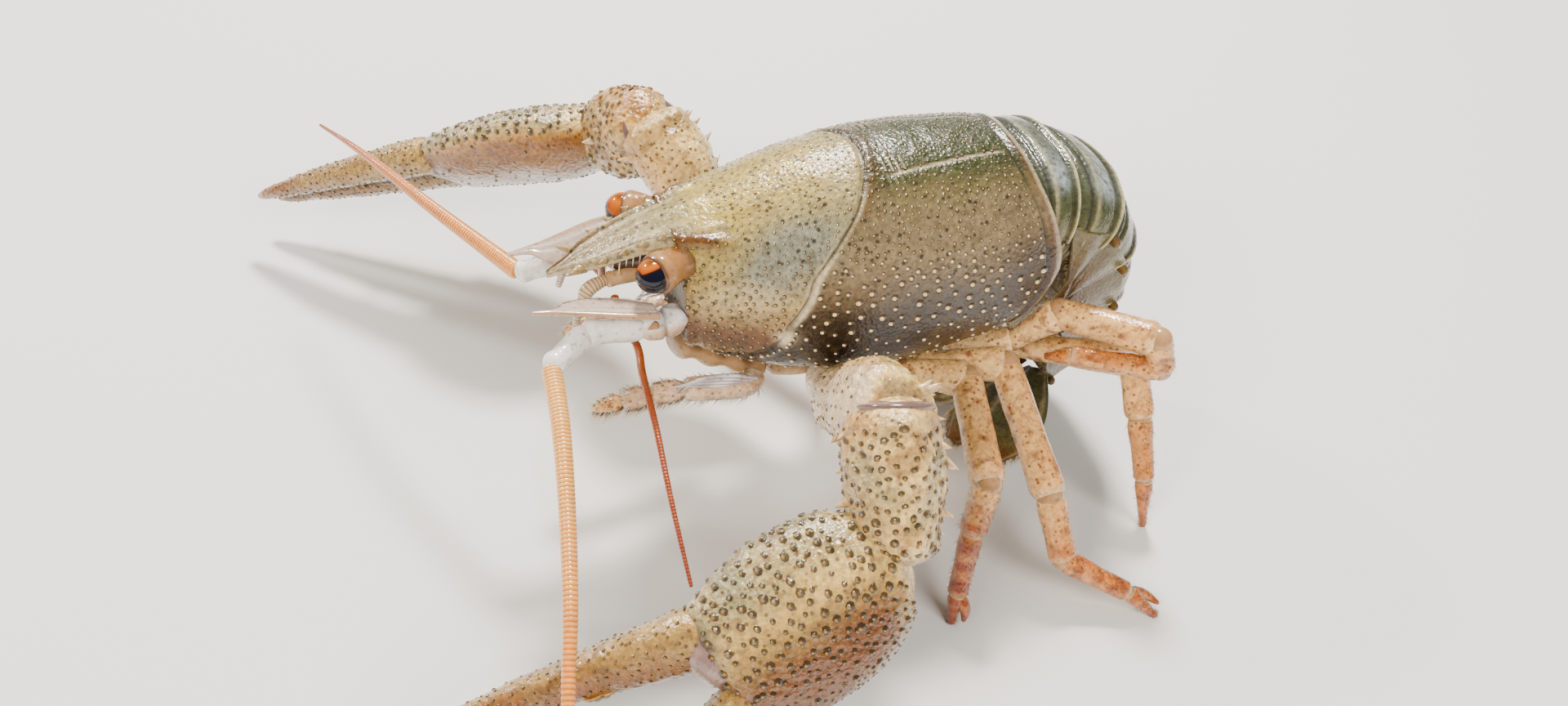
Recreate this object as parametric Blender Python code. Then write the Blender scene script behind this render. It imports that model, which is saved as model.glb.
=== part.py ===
"""Narrow-clawed crayfish, a still model at life size.

Dimensions are in millimetres and turned into metres when a mesh is made. In body coordinates the head
points to -X, the animal's left side is -Y, +Z is up, and the origin lies on the body's axis under the
rear edge of the carapace. One empty carries all the pieces and stands them on the floor at z = 0.
"""
import math
import random

import bmesh
import bpy
from mathutils import Vector

# Driving dimensions, millimetres
MM = 0.001
STAND_HEIGHT = 38.0
FLOOR = -STAND_HEIGHT
BODY_SHIFT = (36.66, 2.1, STAND_HEIGHT)
GAP = 0.3
SHARP_ANGLE = math.radians(50)
LEFT = -1
RIGHT = 1
SIDES = {"l": LEFT, "r": RIGHT}

# Carapace: x, half width, top and bottom of its cross-section
SHELL_STATIONS = (
    (-48.0, 8.3, 7.4, -7.8),
    (-43.0, 10.3, 9.0, -10.2),
    (-37.0, 12.2, 11.0, -12.7),
    (-30.0, 13.9, 12.8, -14.6),
    (-22.0, 15.2, 13.8, -15.2),
    (-15.0, 15.7, 13.7, -15.0),
    (-5.0, 15.3, 12.8, -13.5),
    (0.0, 14.6, 11.6, -11.4),
    (4.0, 13.5, 8.7, -7.0),
)
SHELL_WAIST = 0.42
SHELL_SQUARENESS = 0.62
SHELL_SIDES = 32
REAR_SIDE_X = 2.8
REAR_LOW_X = -4.0
FRONT_X = -47.0
FRONT_LOW_X = -45.8
PARTING_X = -30.0
PARTING_Z = -2.0
REAR_CENTRE = (0.4, 0.0, -1.0)

# Cervical groove: height on the cross-section, from -1 below to 1 over the back, and x there
HALF_GROOVE = GAP * 0.7
GROOVE_ROWS = (
    (-1.0, -43.4),
    (-0.3, -43.2),
    (-0.08, -36.8),
    (0.2, -33.4),
    (0.43, -32.1),
    (0.62, -29.0),
    (0.8, -24.7),
    (1.0, -22.2),
)

# Rings of the two halves: share of the way to the rear edge, and scale of the cross-section there
HEAD_RINGS = ((0.0, 0.98), (0.1, 1.0), (0.28, 1.0), (0.46, 1.0), (0.64, 1.0), (0.8, 1.0), (0.92, 1.0),
              (1.0, 0.975))
BACK_RINGS = ((0.0, 0.975), (0.07, 1.0), (0.2, 1.0), (0.34, 1.0), (0.48, 1.0), (0.62, 1.0), (0.76, 1.0),
              (0.87, 1.0), (0.93, 0.983), (0.965, 1.004), (1.0, 0.985))

# Ridge behind each eye: x and angle on the carapace
RIDGE_ROWS = ((-37.0, 132.0), (-41.0, 128.0), (-44.5, 121.0), (-47.6, 114.0))
RIDGE_PROFILE = ((0.0, 0.2, 0.3), (0.3, 0.8, 0.6), (0.8, 0.9, 0.7), (1.0, 0.2, 0.2))

# Tubercles of the carapace's side: x range, step, and angles of the rows, degrees below the side
TUBERCLE_X = (-31.0, -4.0)
TUBERCLE_STEP = 5.4
TUBERCLE_ANGLES = (178.0, 190.0, 203.0)
TUBERCLE_HEIGHT = 0.5
TUBERCLE_RADIUS = 0.55
SPINE_ROOT = 0.8

# Rostrum: x, half width, top, thickness
ROSTRUM_STATIONS = (
    (-40.0, 5.4, 9.3, 3.0),
    (-45.0, 4.7, 9.0, 2.4),
    (-51.0, 3.7, 6.9, 1.8),
    (-57.0, 2.7, 4.3, 1.5),
    (-59.5, 1.1, 3.2, 1.1),
    (-62.0, 0.3, 2.1, 0.6),
)

# Antennal scale: x, inner and outer edge from the middle plane, half thickness; heights of the edges
SCALE_STATIONS = (
    (-50.9, 6.6, 10.6, 0.5),
    (-54.0, 4.9, 10.3, 0.45),
    (-58.0, 4.2, 9.3, 0.45),
    (-61.0, 4.9, 8.5, 0.42),
    (-62.6, 6.6, 8.1, 0.4),
    (-65.4, 7.1, 7.6, 0.3),
)
SCALE_OUTER_Y = 10.3
SCALE_OUTER_Z = 0.9
SCALE_INNER_Z = 2.4
SCALE_WIDTH = 5.0
SCALE_LENGTH = 14.5
SCALE_TIP_RISE = {"l": 0.9, "r": -2.0}

# Teeth of the rostrum's margin: x, half width, height, length
ROSTRUM_TEETH = ((-58.4, 1.9, 3.4, 2.2), (-54.6, 3.0, 5.2, 0.8), (-51.0, 3.6, 6.8, 0.7))

# Abdomen: heading of the dorsal line in degrees, dorsal length, height and half width of each segment
SEGMENT_HEADINGS = (-9.0, -28.0, -60.0, -86.0, -104.0, -130.0)
SEGMENT_LENGTHS = (7.0, 10.0, 10.0, 10.0, 10.0, 10.0)
SEGMENT_HEIGHTS = (17.0, 17.0, 16.0, 14.5, 13.0, 11.0, 8.0)
SEGMENT_HALF_WIDTHS = (11.8, 12.0, 11.9, 11.5, 11.0, 10.2, 9.0)
SEGMENT_SIDES = 20
SEGMENT_FRONT_CENTRE = (4.0, 0.0, 2.0)
SEGMENT_BACK_SHARE = 0.52
SEGMENT_WAIST_GAIN = 0.25
ABDOMEN_START = (0.6, 10.6)
FAN_HEADING = -157.0
FAN_LENGTH = 16.0

# Tail fan: half widths of its lobes from root to end, and depth, offset and spread in degrees of side lobes
TELSON_WIDTHS = (4.4, 4.7, 4.6, 4.1, 3.2)
TELSON_SPINE_PLACE = 0.7
TELSON_SPINE_SPLAY = 0.35
TELSON_SPINE_SIZE = (1.6, 0.6)
FAN_DEPTH = 3.2
FAN_CLEARANCE = 2.0
INNER_BLADE_PLACE = (0.4, 6.7, 14.0)
OUTER_BLADE_PLACE = (2.5, 8.4, 38.0)
INNER_BLADE_WIDTHS = (1.6, 3.3, 4.3, 4.2, 2.8)
OUTER_BLADE_WIDTHS = (1.6, 3.5, 4.6, 4.5, 3.0)
TELSON_HALF_THICKNESS = 1.2
BLADE_HALF_THICKNESS = 0.7
BLADE_SIDES = 12
BLADE_RIB = 1.35

# Side plates of abdomen segments 2 to 6: depth of the root as a share of the segment's height,
# then for each plate its length as such a share and how far it turns from the radius to the vertical
PLATE_ROOT = 0.42
PLATE_PLACE = 0.93
PLATE_ROWS = ((0.55, 0.3), (0.55, 0.12), (0.62, 0.05), (0.66, 0.0), (0.6, 0.0))
PLATE_OUTLINE = ((0.0, 1.0), (0.35, 1.0), (0.65, 0.95), (0.86, 0.7), (1.0, 0.3))
PLATE_HALF_THICKNESS = 0.5
PLATE_FLARE = 1.6

# Underside: paths in body coordinates and sizes along them (fraction, half width, half height)
STERNUM_PATH = ((-34.0, 0.0, -17.6), (-18.0, 0.0, -18.0), (1.2, 0.0, -18.0))
STERNUM_PROFILE = ((0.0, 6.3, 2.0), (0.2, 6.86, 2.2), (1.0, 6.86, 2.2))
MOUTH_PATH = ((-46.4, 0.0, -11.2), (-40.0, 0.0, -14.0), (-34.4, 0.0, -16.4))
MOUTH_PROFILE = ((0.0, 4.4, 2.0), (0.5, 6.0, 1.9), (1.0, 6.6, 1.4))
BOX_FULLNESS = 0.18

# Great claws: joints in body coordinates, tips of both fingers, and the palm's outward direction
CLAW_PATHS = {
    "l": {
        "merus": ((-26.5, -7.3, -17.4), (-27.5, -10.5, -17.2), (-28.5, -15.0, -15.2), (-28.9, -30.6, -2.0)),
        "carpus": ((-28.9, -30.6, -2.0), (-32.5, -42.0, -14.0)),
        "palm": ((-32.5, -42.0, -14.0), (-44.0, -43.6, -17.6), (-53.6, -45.8, -21.6)),
        "finger_tip": (-91.0, -38.4, -29.4),
        "thumb_tip": (-87.0, -61.0, -36.6),
        "outer": (0.404, -0.663, -0.628),
    },
    "r": {
        "merus": ((-26.5, 7.3, -17.4), (-28.0, 10.5, -17.2), (-30.5, 15.5, -15.0), (-39.5, 30.5, -0.5)),
        "carpus": ((-39.5, 30.5, -0.5), (-43.2, 42.9, -9.0)),
        "palm": ((-43.2, 42.9, -9.0), (-55.0, 48.2, -12.4), (-65.3, 54.8, -17.6)),
        "finger_tip": (-96.3, 69.5, -28.6),
        "thumb_tip": (-93.5, 72.5, -31.5),
        "outer": (0.55, 0.47, -0.69),
    },
}
# Widths along the great claws: fraction of the length, half width, half height
ARM_UP = (1.0, 0.0, 0.1)
MERUS_PROFILE = ((0.0, 2.6, 2.6), (0.12, 2.6, 2.6), (0.28, 3.6, 3.4), (0.5, 5.4, 4.6), (0.8, 6.4, 5.4),
                 (1.0, 5.8, 5.2))
CARPUS_PROFILE = ((0.0, 5.6, 5.0), (0.5, 6.7, 6.1), (0.85, 5.6, 5.4), (1.0, 4.6, 4.0))
PALM_PROFILE = ((0.0, 4.0, 3.7), (0.14, 7.4, 4.9), (0.35, 9.9, 5.4), (0.62, 10.5, 4.8), (0.88, 9.5, 4.0),
                (1.0, 8.6, 3.7))
THUMB_PROFILE = ((0.0, 3.6, 3.1), (0.12, 3.8, 3.0), (0.6, 2.3, 2.1), (0.93, 1.2, 1.2), (1.0, 0.5, 0.5))
FINGER_PROFILE = ((0.0, 3.3, 2.7), (0.1, 3.6, 2.9), (0.35, 2.9, 2.5), (0.65, 2.1, 1.9), (0.93, 1.1, 1.1),
                  (1.0, 0.5, 0.5))
THUMB_OFFSET = 4.0
THUMB_ROOT = 3.0
FINGER_OFFSET = 5.2
FINGER_BOW = 0.8

# Spines of the great claws: fraction of the length, angle about it, length, radius, lean to the tip
MERUS_SPINES = ((0.56, 96.0, 0.9, 0.6, 0.4), (0.68, 88.0, 1.1, 0.6, 0.4), (0.8, 96.0, 1.2, 0.7, 0.4),
                (0.91, 84.0, 1.3, 0.7, 0.4), (0.88, 262.0, 1.8, 0.9, 0.5), (0.7, 250.0, 0.8, 0.6, 0.3))
CARPUS_SPINES = ((0.4, 84.0, 1.9, 0.9, 0.5), (0.68, 70.0, 1.2, 0.7, 0.4), (0.3, 60.0, 0.8, 0.6, 0.2),
                 (0.62, 268.0, 1.3, 0.8, 0.5), (0.5, 30.0, 0.6, 0.6, 0.0), (0.35, 120.0, 0.6, 0.6, 0.0))
PALM_TUBERCLE_ROWS = (0.26, 0.42, 0.58, 0.74, 0.9)
PALM_TUBERCLE_ANGLES = (50.0, 88.0, 126.0, 164.0)

# Walking legs: joints in body coordinates from the sternum to the tip, and the index of the knee
LEG_PATHS = {
    "leg2_l": ((-20.0, -7.3, -17.6), (-19.2, -9.3, -17.6), (-9.5, -16.5, -15.6), (-13.0, -31.0, -20.0),
               (-15.5, -33.5, -26.0), (-18.0, -37.0, -34.0), (-19.0, -38.6, FLOOR)),
    "leg3_l": ((-14.0, -7.3, -18.0), (-13.2, -9.3, -18.0), (-3.0, -15.5, -15.6), (-3.0, -32.0, -25.0),
               (-2.5, -37.6, -32.0), (5.0, -43.5, -35.0), (8.5, -46.5, FLOOR)),
    "leg4_l": ((-7.5, -7.3, -18.0), (-6.7, -9.0, -18.0), (0.2, -11.6, -15.4), (4.7, -14.2, -9.2),
               (11.9, -23.8, -7.0), (13.3, -25.7, -6.7), (13.9, -26.4, -11.3), (3.4, -20.4, -11.2),
               (0.6, -18.9, -12.0)),
    "leg5_l": ((-1.2, -7.3, -18.6), (0.0, -8.4, -18.6), (16.0, -19.2, -16.8), (15.6, -24.5, -23.0),
               (15.2, -29.8, -30.5), (15.5, -32.5, FLOOR)),
    "leg2_r": ((-20.0, 7.3, -17.6), (-19.4, 9.3, -17.6), (-15.5, 17.0, -15.6), (-24.0, 31.0, -17.0),
               (-27.5, 36.0, -21.0), (-31.0, 41.0, -32.0), (-31.8, 42.2, FLOOR)),
    "leg3_r": ((-14.0, 7.3, -18.0), (-13.4, 9.3, -18.0), (-7.0, 16.5, -15.6), (-3.0, 33.0, -19.0),
               (-1.5, 38.5, -24.0), (1.0, 45.0, -33.5), (2.0, 47.0, FLOOR)),
    "leg4_r": ((-7.5, 7.3, -18.0), (-6.9, 9.0, -18.0), (2.0, 14.5, -15.6), (14.0, 27.5, -16.0),
               (18.0, 31.5, -21.5), (22.0, 36.5, -33.0), (22.8, 37.8, FLOOR)),
    "leg5_r": ((-1.2, 7.3, -18.6), (0.0, 8.4, -18.6), (15.0, 18.5, -17.6), (18.5, 21.0, -22.0),
               (22.0, 23.5, -32.0), (22.8, 24.4, FLOOR)),
}
LEG_KNEES = {"leg2_l": 3, "leg3_l": 3, "leg4_l": 4, "leg5_l": 2, "leg2_r": 3, "leg3_r": 3, "leg4_r": 3,
             "leg5_r": 2}
UPPER_LEG_PROFILE = ((0.0, 1.75, 1.75), (0.3, 1.75, 1.75), (0.42, 1.95, 1.95), (0.72, 2.4, 2.4),
                     (0.92, 2.15, 2.15), (1.0, 2.3, 2.3))
LOWER_LEG_PROFILE = ((0.0, 2.1, 2.1), (0.16, 2.2, 2.2), (0.26, 1.75, 1.75), (0.42, 1.95, 1.95),
                     (0.66, 1.6, 1.6), (0.78, 1.2, 1.2), (1.0, 0.45, 0.45))

# Pincers of legs 2 and 3: start as a fraction of the lower length, gap and rise of the movable finger's tip
PINCER_LEGS = ("leg2", "leg3")
PINCER_START = 0.62
PINCER_GAPE = 1.7
PINCER_LIFT = 0.9
PINCER_PROFILE = ((0.0, 1.0, 0.9), (0.4, 0.95, 0.85), (1.0, 0.3, 0.3))

# Eyes: the ball is a cap about the stalk's direction, between two angles from its equator in degrees
EYE_CENTRE = (-50.6, 6.85, 4.5)
EYE_RADIUS = 1.85
EYE_CAP = (-28.0, 84.0)
EYE_RINGS = 7
STALK_ROOT = (4.9, 4.3)
STALK_SUNK = 1.0
STALK_PROFILE = ((0.0, 1.45, 1.45), (0.6, 1.35, 1.35), (1.0, 1.6, 1.6))

# Feelers and mouth limbs: the paths of paired pieces are given for the animal's right side
ANTENNULE_BASE_PATH = ((-47.3, 2.7, 2.0), (-55.4, 2.5, 1.5))
ANTENNULE_BASE_PROFILE = ((0.0, 1.35, 1.3), (1.0, 1.2, 1.15))
ANTENNULE_PATH = ((-54.6, 2.0, 1.6), (-58.6, 2.4, 1.4), (-60.4, 2.9, 0.0), (-61.0, 3.2, -4.0))
ANTENNULE_PROFILE = ((0.0, 0.55, 0.55), (1.0, 0.28, 0.28))
STRAND_PROFILE = ((0.0, 0.5, 0.5), (0.4, 0.45, 0.45), (1.0, 0.28, 0.28))
ANTENNA_BASE_PATH = ((-47.3, 7.6, -2.2), (-53.1, 8.4, -1.9))
ANTENNA_BASE_PROFILE = ((0.0, 2.5, 2.3), (0.5, 2.7, 2.4), (1.0, 2.1, 2.0))
ANTENNA_STEM_PROFILE = ((0.0, 1.7, 1.7), (0.5, 1.5, 1.5), (1.0, 1.5, 1.5))
ANTENNA_NEAR_PROFILE = ((0.0, 1.15, 1.15), (0.3, 1.0, 1.0), (1.0, 0.72, 0.72))
ANTENNA_FAR_PROFILE = ((0.0, 0.72, 0.72), (1.0, 0.3, 0.3))
MAXILLIPED_PATH = ((-36.4, 7.3, -15.6), (-38.4, 8.8, -15.4), (-47.0, 8.3, -14.2), (-51.4, 8.2, -14.0),
                   (-55.4, 8.0, -14.2), (-59.0, 7.4, -15.4))
MAXILLIPED_PROFILE = ((0.0, 1.5, 1.5), (0.3, 1.5, 1.9), (0.55, 1.3, 1.5), (0.7, 1.5, 1.6), (0.86, 1.3, 1.4),
                      (1.0, 0.4, 0.4))
ANTENNA_PATHS = {
    "l": {
        "stem": ((-53.1, -8.4, -2.0), (-59.3, -7.9, -1.5), (-64.4, -11.8, -2.0)),
        "near": ((-64.4, -11.8, -2.0), (-65.3, -19.2, -4.8), (-67.2, -29.0, -9.5), (-69.5, -38.6, -13.0),
                 (-71.9, -46.5, -17.0)),
        "far": ((-71.9, -46.5, -17.0), (-75.0, -60.0, -23.5), (-78.5, -77.0, -31.0)),
    },
    "r": {
        "stem": ((-53.1, 8.4, -2.0), (-59.4, 7.6, -2.8), (-64.0, 8.5, -4.0)),
        "near": ((-64.0, 8.5, -4.0), (-66.8, 14.8, -4.4), (-71.9, 26.2, -5.0), (-75.8, 36.6, -6.2)),
        "far": ((-75.8, 36.6, -6.2), (-80.2, 49.0, -8.2), (-84.3, 60.0, -10.6)),
    },
}
STRAND_PATHS = {
    "l": ((-54.6, -3.3, -0.5), (-53.9, -4.2, -4.0), (-52.6, -6.4, -6.9), (-53.2, -10.5, -7.3),
          (-53.7, -15.5, -7.7), (-53.9, -19.0, -9.0), (-54.8, -28.0, -12.0), (-55.5, -37.6, -15.3)),
    "r": ((-54.6, 3.3, -0.5), (-53.9, 4.2, -4.0), (-52.6, 6.4, -6.9), (-53.4, 10.5, -7.6),
          (-54.0, 15.0, -9.0), (-55.0, 19.0, -12.0), (-56.0, 22.5, -16.0)),
}

# Colours as linear red, green and blue
OLIVE = (0.105, 0.108, 0.040)
OLIVE_GREY = (0.165, 0.172, 0.095)
CREAM_BROWN = (0.330, 0.235, 0.115)
LEG_TAN = (0.480, 0.250, 0.120)
FEELER_ORANGE = (0.480, 0.170, 0.055)
JOINT_WHITE = (0.560, 0.480, 0.400)
EYE_BLACK = (0.010, 0.010, 0.014)


def make_material(name, colour, roughness):
    """Return a plain shell material of the given linear colour and roughness."""
    material = bpy.data.materials.new(name)
    material.use_nodes = True
    shader = material.node_tree.nodes["Principled BSDF"]
    shader.inputs["Base Color"].default_value = (*colour, 1.0)
    shader.inputs["Roughness"].default_value = roughness
    shader.inputs["Metallic"].default_value = 0.0
    return material


def interpolate(stations, x):
    """Read every value of the table at x along a smooth curve through its rows."""
    last = len(stations) - 2
    index = 0
    while index < last and x > stations[index + 1][0]:
        index += 1
    before = stations[max(index - 1, 0)]
    start = stations[index]
    end = stations[index + 1]
    after = stations[min(index + 2, len(stations) - 1)]
    t = (x - start[0]) / (end[0] - start[0])
    values = []
    for column in range(1, len(start)):
        slope_in = (end[column] - before[column]) / (end[0] - before[0]) * (end[0] - start[0])
        slope_out = (after[column] - start[column]) / (after[0] - start[0]) * (end[0] - start[0])
        values.append(
            (2 * t ** 3 - 3 * t ** 2 + 1) * start[column]
            + (t ** 3 - 2 * t ** 2 + t) * slope_in
            + (3 * t ** 2 - 2 * t ** 3) * end[column]
            + (t ** 3 - t ** 2) * slope_out
        )
    return values


def ring_mesh(name, rings, start_centre=None, end_centre=None):
    """Make a closed mesh object from rings of equal length, capped by a fan at each end."""
    mesh = bpy.data.meshes.new(name)
    shape = bmesh.new()
    loops = [[shape.verts.new(point * MM) for point in ring] for ring in rings]
    count = len(loops[0])
    for lower, upper in zip(loops, loops[1:]):
        for i in range(count):
            j = (i + 1) % count
            shape.faces.new((lower[i], lower[j], upper[j], upper[i]))
    for loop, centre in ((loops[0], start_centre), (loops[-1], end_centre)):
        if centre is None:
            centre = sum((vert.co for vert in loop), Vector()) / count
        else:
            centre = Vector(centre) * MM
        middle = shape.verts.new(centre)
        for i in range(count):
            shape.faces.new((loop[i], loop[(i + 1) % count], middle))
    bmesh.ops.triangulate(shape, faces=shape.faces)
    bmesh.ops.recalc_face_normals(shape, faces=shape.faces)
    if shape.calc_volume(signed=True) < 0:
        bmesh.ops.reverse_faces(shape, faces=shape.faces)
    shape.to_mesh(mesh)
    shape.free()
    mesh.shade_smooth()
    mesh.set_sharp_from_angle(angle=SHARP_ANGLE)
    piece = bpy.data.objects.new(name, mesh)
    bpy.context.scene.collection.objects.link(piece)
    return piece


def unit_sum(first, second):
    """Direction halfway between two directions: the normal of the mitre plane where they meet."""
    return (first.normalized() + second.normalized()).normalized()


def joint_normal(before, joint, after):
    """Normal of the mitre plane at a joint of three points."""
    return unit_sum(Vector(joint) - Vector(before), Vector(after) - Vector(joint))


def arc_lengths(path):
    """Distance of each path point from the start."""
    lengths = [0.0]
    for start, end in zip(path, path[1:]):
        lengths.append(lengths[-1] + (end - start).length)
    return lengths


def profile_at(profile, fraction):
    """Half width and half height at a fraction of the length."""
    for start, end in zip(profile, profile[1:]):
        if fraction <= end[0]:
            t = (fraction - start[0]) / max(end[0] - start[0], 1e-9)
            return start[1] + (end[1] - start[1]) * t, start[2] + (end[2] - start[2]) * t
    return profile[-1][1], profile[-1][2]


def sweep_rings(path, profile, up, sides=10, spacing=4.0, start_normal=None, end_normal=None):
    """Rings along a path. At corners and at both ends they lie in the mitre planes.

    The profile holds rows of fraction along the path, half width and half height.
    """
    path = [Vector(point) for point in path]
    lengths = arc_lengths(path)
    total = lengths[-1]
    directions = [(end - start).normalized() for start, end in zip(path, path[1:])]
    normals = []
    for i in range(len(path)):
        if i == 0:
            normals.append(Vector(start_normal) if start_normal is not None else directions[0])
        elif i == len(path) - 1:
            normals.append(Vector(end_normal) if end_normal is not None else directions[-1])
        else:
            normals.append(unit_sum(directions[i - 1], directions[i]))
    rings = []
    for i in range(len(path)):
        along = directions[max(i - 1, 0)]
        offset = 0.0
        if i == 0 and start_normal is not None:
            offset = GAP / 2
        if i == len(path) - 1 and end_normal is not None:
            offset = -GAP / 2
        rings.append(section_ring(path[i], along, normals[i], offset,
                                  profile_at(profile, lengths[i] / total), up, sides))
        if i == len(path) - 1:
            break
        run = lengths[i + 1] - lengths[i]
        steps = max(int(round(run / spacing)), 1)
        for k in range(1, steps):
            fraction = (lengths[i] + run * k / steps) / total
            size = profile_at(profile, fraction)
            reach_start = slant_reach(normals[i], directions[i], max(size)) + 0.4
            reach_end = slant_reach(normals[i + 1], directions[i], max(size)) + 0.4
            place = run * k / steps
            if place < reach_start or run - place < reach_end:
                continue
            rings.append(section_ring(path[i] + directions[i] * place, directions[i], directions[i],
                                      0.0, size, up, sides))
    return rings


def slant_reach(normal, direction, radius):
    """How far a ring in a slanted plane reaches along the direction."""
    cosine = max(min(abs(normal.dot(direction)), 1.0), 0.2)
    return radius * math.sqrt(1.0 - cosine ** 2) / cosine


def section_ring(centre, along, normal, offset, size, up, sides):
    """An elliptical ring about the direction along, slid onto the plane with the given normal."""
    height_axis = (Vector(up) - along * Vector(up).dot(along)).normalized()
    width_axis = along.cross(height_axis)
    ring = []
    for k in range(sides):
        angle = 2 * math.pi * k / sides
        spoke = width_axis * (size[0] * math.cos(angle)) + height_axis * (size[1] * math.sin(angle))
        slide = (offset - normal.dot(spoke)) / normal.dot(along)
        point = centre + spoke + along * slide
        ring.append(point)
    return ring


def rest_on_floor(rings):
    """Flatten what would reach below the floor, so that it rests on a small flat."""
    return [[Vector((point.x, point.y, max(point.z, FLOOR))) for point in ring] for ring in rings]


def shell_point(x, angle, scale=1.0):
    """Point of the carapace at x, with the angle counted from the animal's right over the back."""
    half_width, top, bottom = interpolate(SHELL_STATIONS, x)
    middle = bottom + SHELL_WAIST * (top - bottom)
    cosine = math.cos(angle)
    sine = math.sin(angle)
    if sine >= 0:
        y = half_width * cosine
        z = middle + (top - middle) * sine
    else:
        y = half_width * math.copysign(abs(cosine) ** SHELL_SQUARENESS, cosine)
        z = middle - (middle - bottom) * abs(sine) ** SHELL_SQUARENESS
    return Vector((x, y * scale, middle + (z - middle) * scale))


def shell_normal(x, angle):
    """Outward direction of the carapace at x and an angle."""
    along = shell_point(x + 0.5, angle) - shell_point(x - 0.5, angle)
    around = shell_point(x, angle + 0.03) - shell_point(x, angle - 0.03)
    return around.cross(along).normalized()


def groove_x(angle):
    """Where the cervical groove crosses the given angle."""
    return interpolate(GROOVE_ROWS, math.sin(angle))[0]


def rear_edge(height):
    """Rear edge of the carapace at a height from -1 below to 1 over the back, where it is notched."""
    if height >= 0:
        return REAR_SIDE_X * (1 - height ** 2)
    return REAR_SIDE_X + (REAR_LOW_X - REAR_SIDE_X) * abs(height)


def front_x(angle):
    """Front edge of the carapace below the rostrum."""
    sine = math.sin(angle)
    if sine >= -0.3:
        return FRONT_X
    return FRONT_X + (FRONT_LOW_X - FRONT_X) * (abs(sine) - 0.3) / 0.7


def shell_rings(front, rear, rows):
    """Rings of the carapace between two edges given as functions of the angle."""
    angles = [2 * math.pi * (k + 0.5) / SHELL_SIDES for k in range(SHELL_SIDES)]
    return [
        [shell_point(front(angle) + (rear(angle) - front(angle)) * share, angle, scale) for angle in angles]
        for share, scale in rows
    ]


def merge(name, pieces, material):
    """Union the pieces into one closed object with the given name and material."""
    base = pieces[0]
    base.name = name
    base.data.materials.clear()
    base.data.materials.append(material)
    if len(pieces) > 1:
        group = bpy.data.collections.new(name + "_pieces")
        bpy.context.scene.collection.children.link(group)
        for piece in pieces[1:]:
            bpy.context.scene.collection.objects.unlink(piece)
            group.objects.link(piece)
        union = base.modifiers.new("Union", "BOOLEAN")
        union.operation = "UNION"
        union.operand_type = "COLLECTION"
        union.solver = "EXACT"
        union.collection = group
        graph = bpy.context.evaluated_depsgraph_get()
        joined = bpy.data.meshes.new_from_object(base.evaluated_get(graph))
        base.modifiers.clear()
        base.data = joined
        base.data.materials.clear()
        base.data.materials.append(material)
        for piece in list(group.objects):
            bpy.data.objects.remove(piece)
        bpy.data.collections.remove(group)
        keep_largest_surface(base.data)
    base.parent = BODY
    return base


def keep_largest_surface(mesh):
    """Drop every island but the one with the most faces."""
    shape = bmesh.new()
    shape.from_mesh(mesh)
    bmesh.ops.triangulate(shape, faces=shape.faces)
    unseen = set(shape.faces)
    islands = []
    while unseen:
        island = [unseen.pop()]
        for face in island:
            for edge in face.edges:
                for other in edge.link_faces:
                    if other in unseen:
                        unseen.remove(other)
                        island.append(other)
        islands.append(island)
    islands.sort(key=len)
    for island in islands[:-1]:
        bmesh.ops.delete(shape, geom=island, context="FACES")
    loose = [vert for vert in shape.verts if not vert.link_faces]
    bmesh.ops.delete(shape, geom=loose, context="VERTS")
    shape.to_mesh(mesh)
    shape.free()
    mesh.shade_smooth()
    mesh.set_sharp_from_angle(angle=SHARP_ANGLE)


def spine(base, direction, length, radius):
    """A pointed spine of five sides whose root is sunk below the surface at the base point."""
    direction = Vector(direction).normalized()
    sunk = Vector(base) - direction * SPINE_ROOT
    tip = Vector(base) + direction * length
    side = Vector((0.0, 0.0, 1.0)) if abs(direction.z) < 0.9 else Vector((1.0, 0.0, 0.0))
    rings = sweep_rings((sunk, tip), ((0.0, radius, radius), (1.0, 0.16, 0.16)), side, 5, length * 3.0)
    return ring_mesh("spine", rings)


def place_along(path, fraction):
    """Point and direction at a fraction of a path's length."""
    points = [Vector(point) for point in path]
    lengths = arc_lengths(points)
    reach = fraction * lengths[-1]
    index = max(i for i in range(len(points) - 1) if lengths[i] <= reach)
    along = (points[index + 1] - points[index]).normalized()
    return points[index] + along * (reach - lengths[index]), along


def limb_spine(path, profile, up, fraction, angle, length, radius, lean=0.0):
    """A spine on the side of a swept limb, at an angle about its path, that leans towards its tip."""
    centre, along = place_along(path, fraction)
    half_width, half_height = profile_at(profile, fraction)
    height_axis = (Vector(up) - along * Vector(up).dot(along)).normalized()
    width_axis = along.cross(height_axis)
    cosine = math.cos(math.radians(angle))
    sine = math.sin(math.radians(angle))
    base = centre + width_axis * (half_width * cosine) + height_axis * (half_height * sine)
    outward = (width_axis * (cosine / half_width) + height_axis * (sine / half_height)).normalized()
    return spine(base, outward + along * lean, length, radius)


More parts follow.
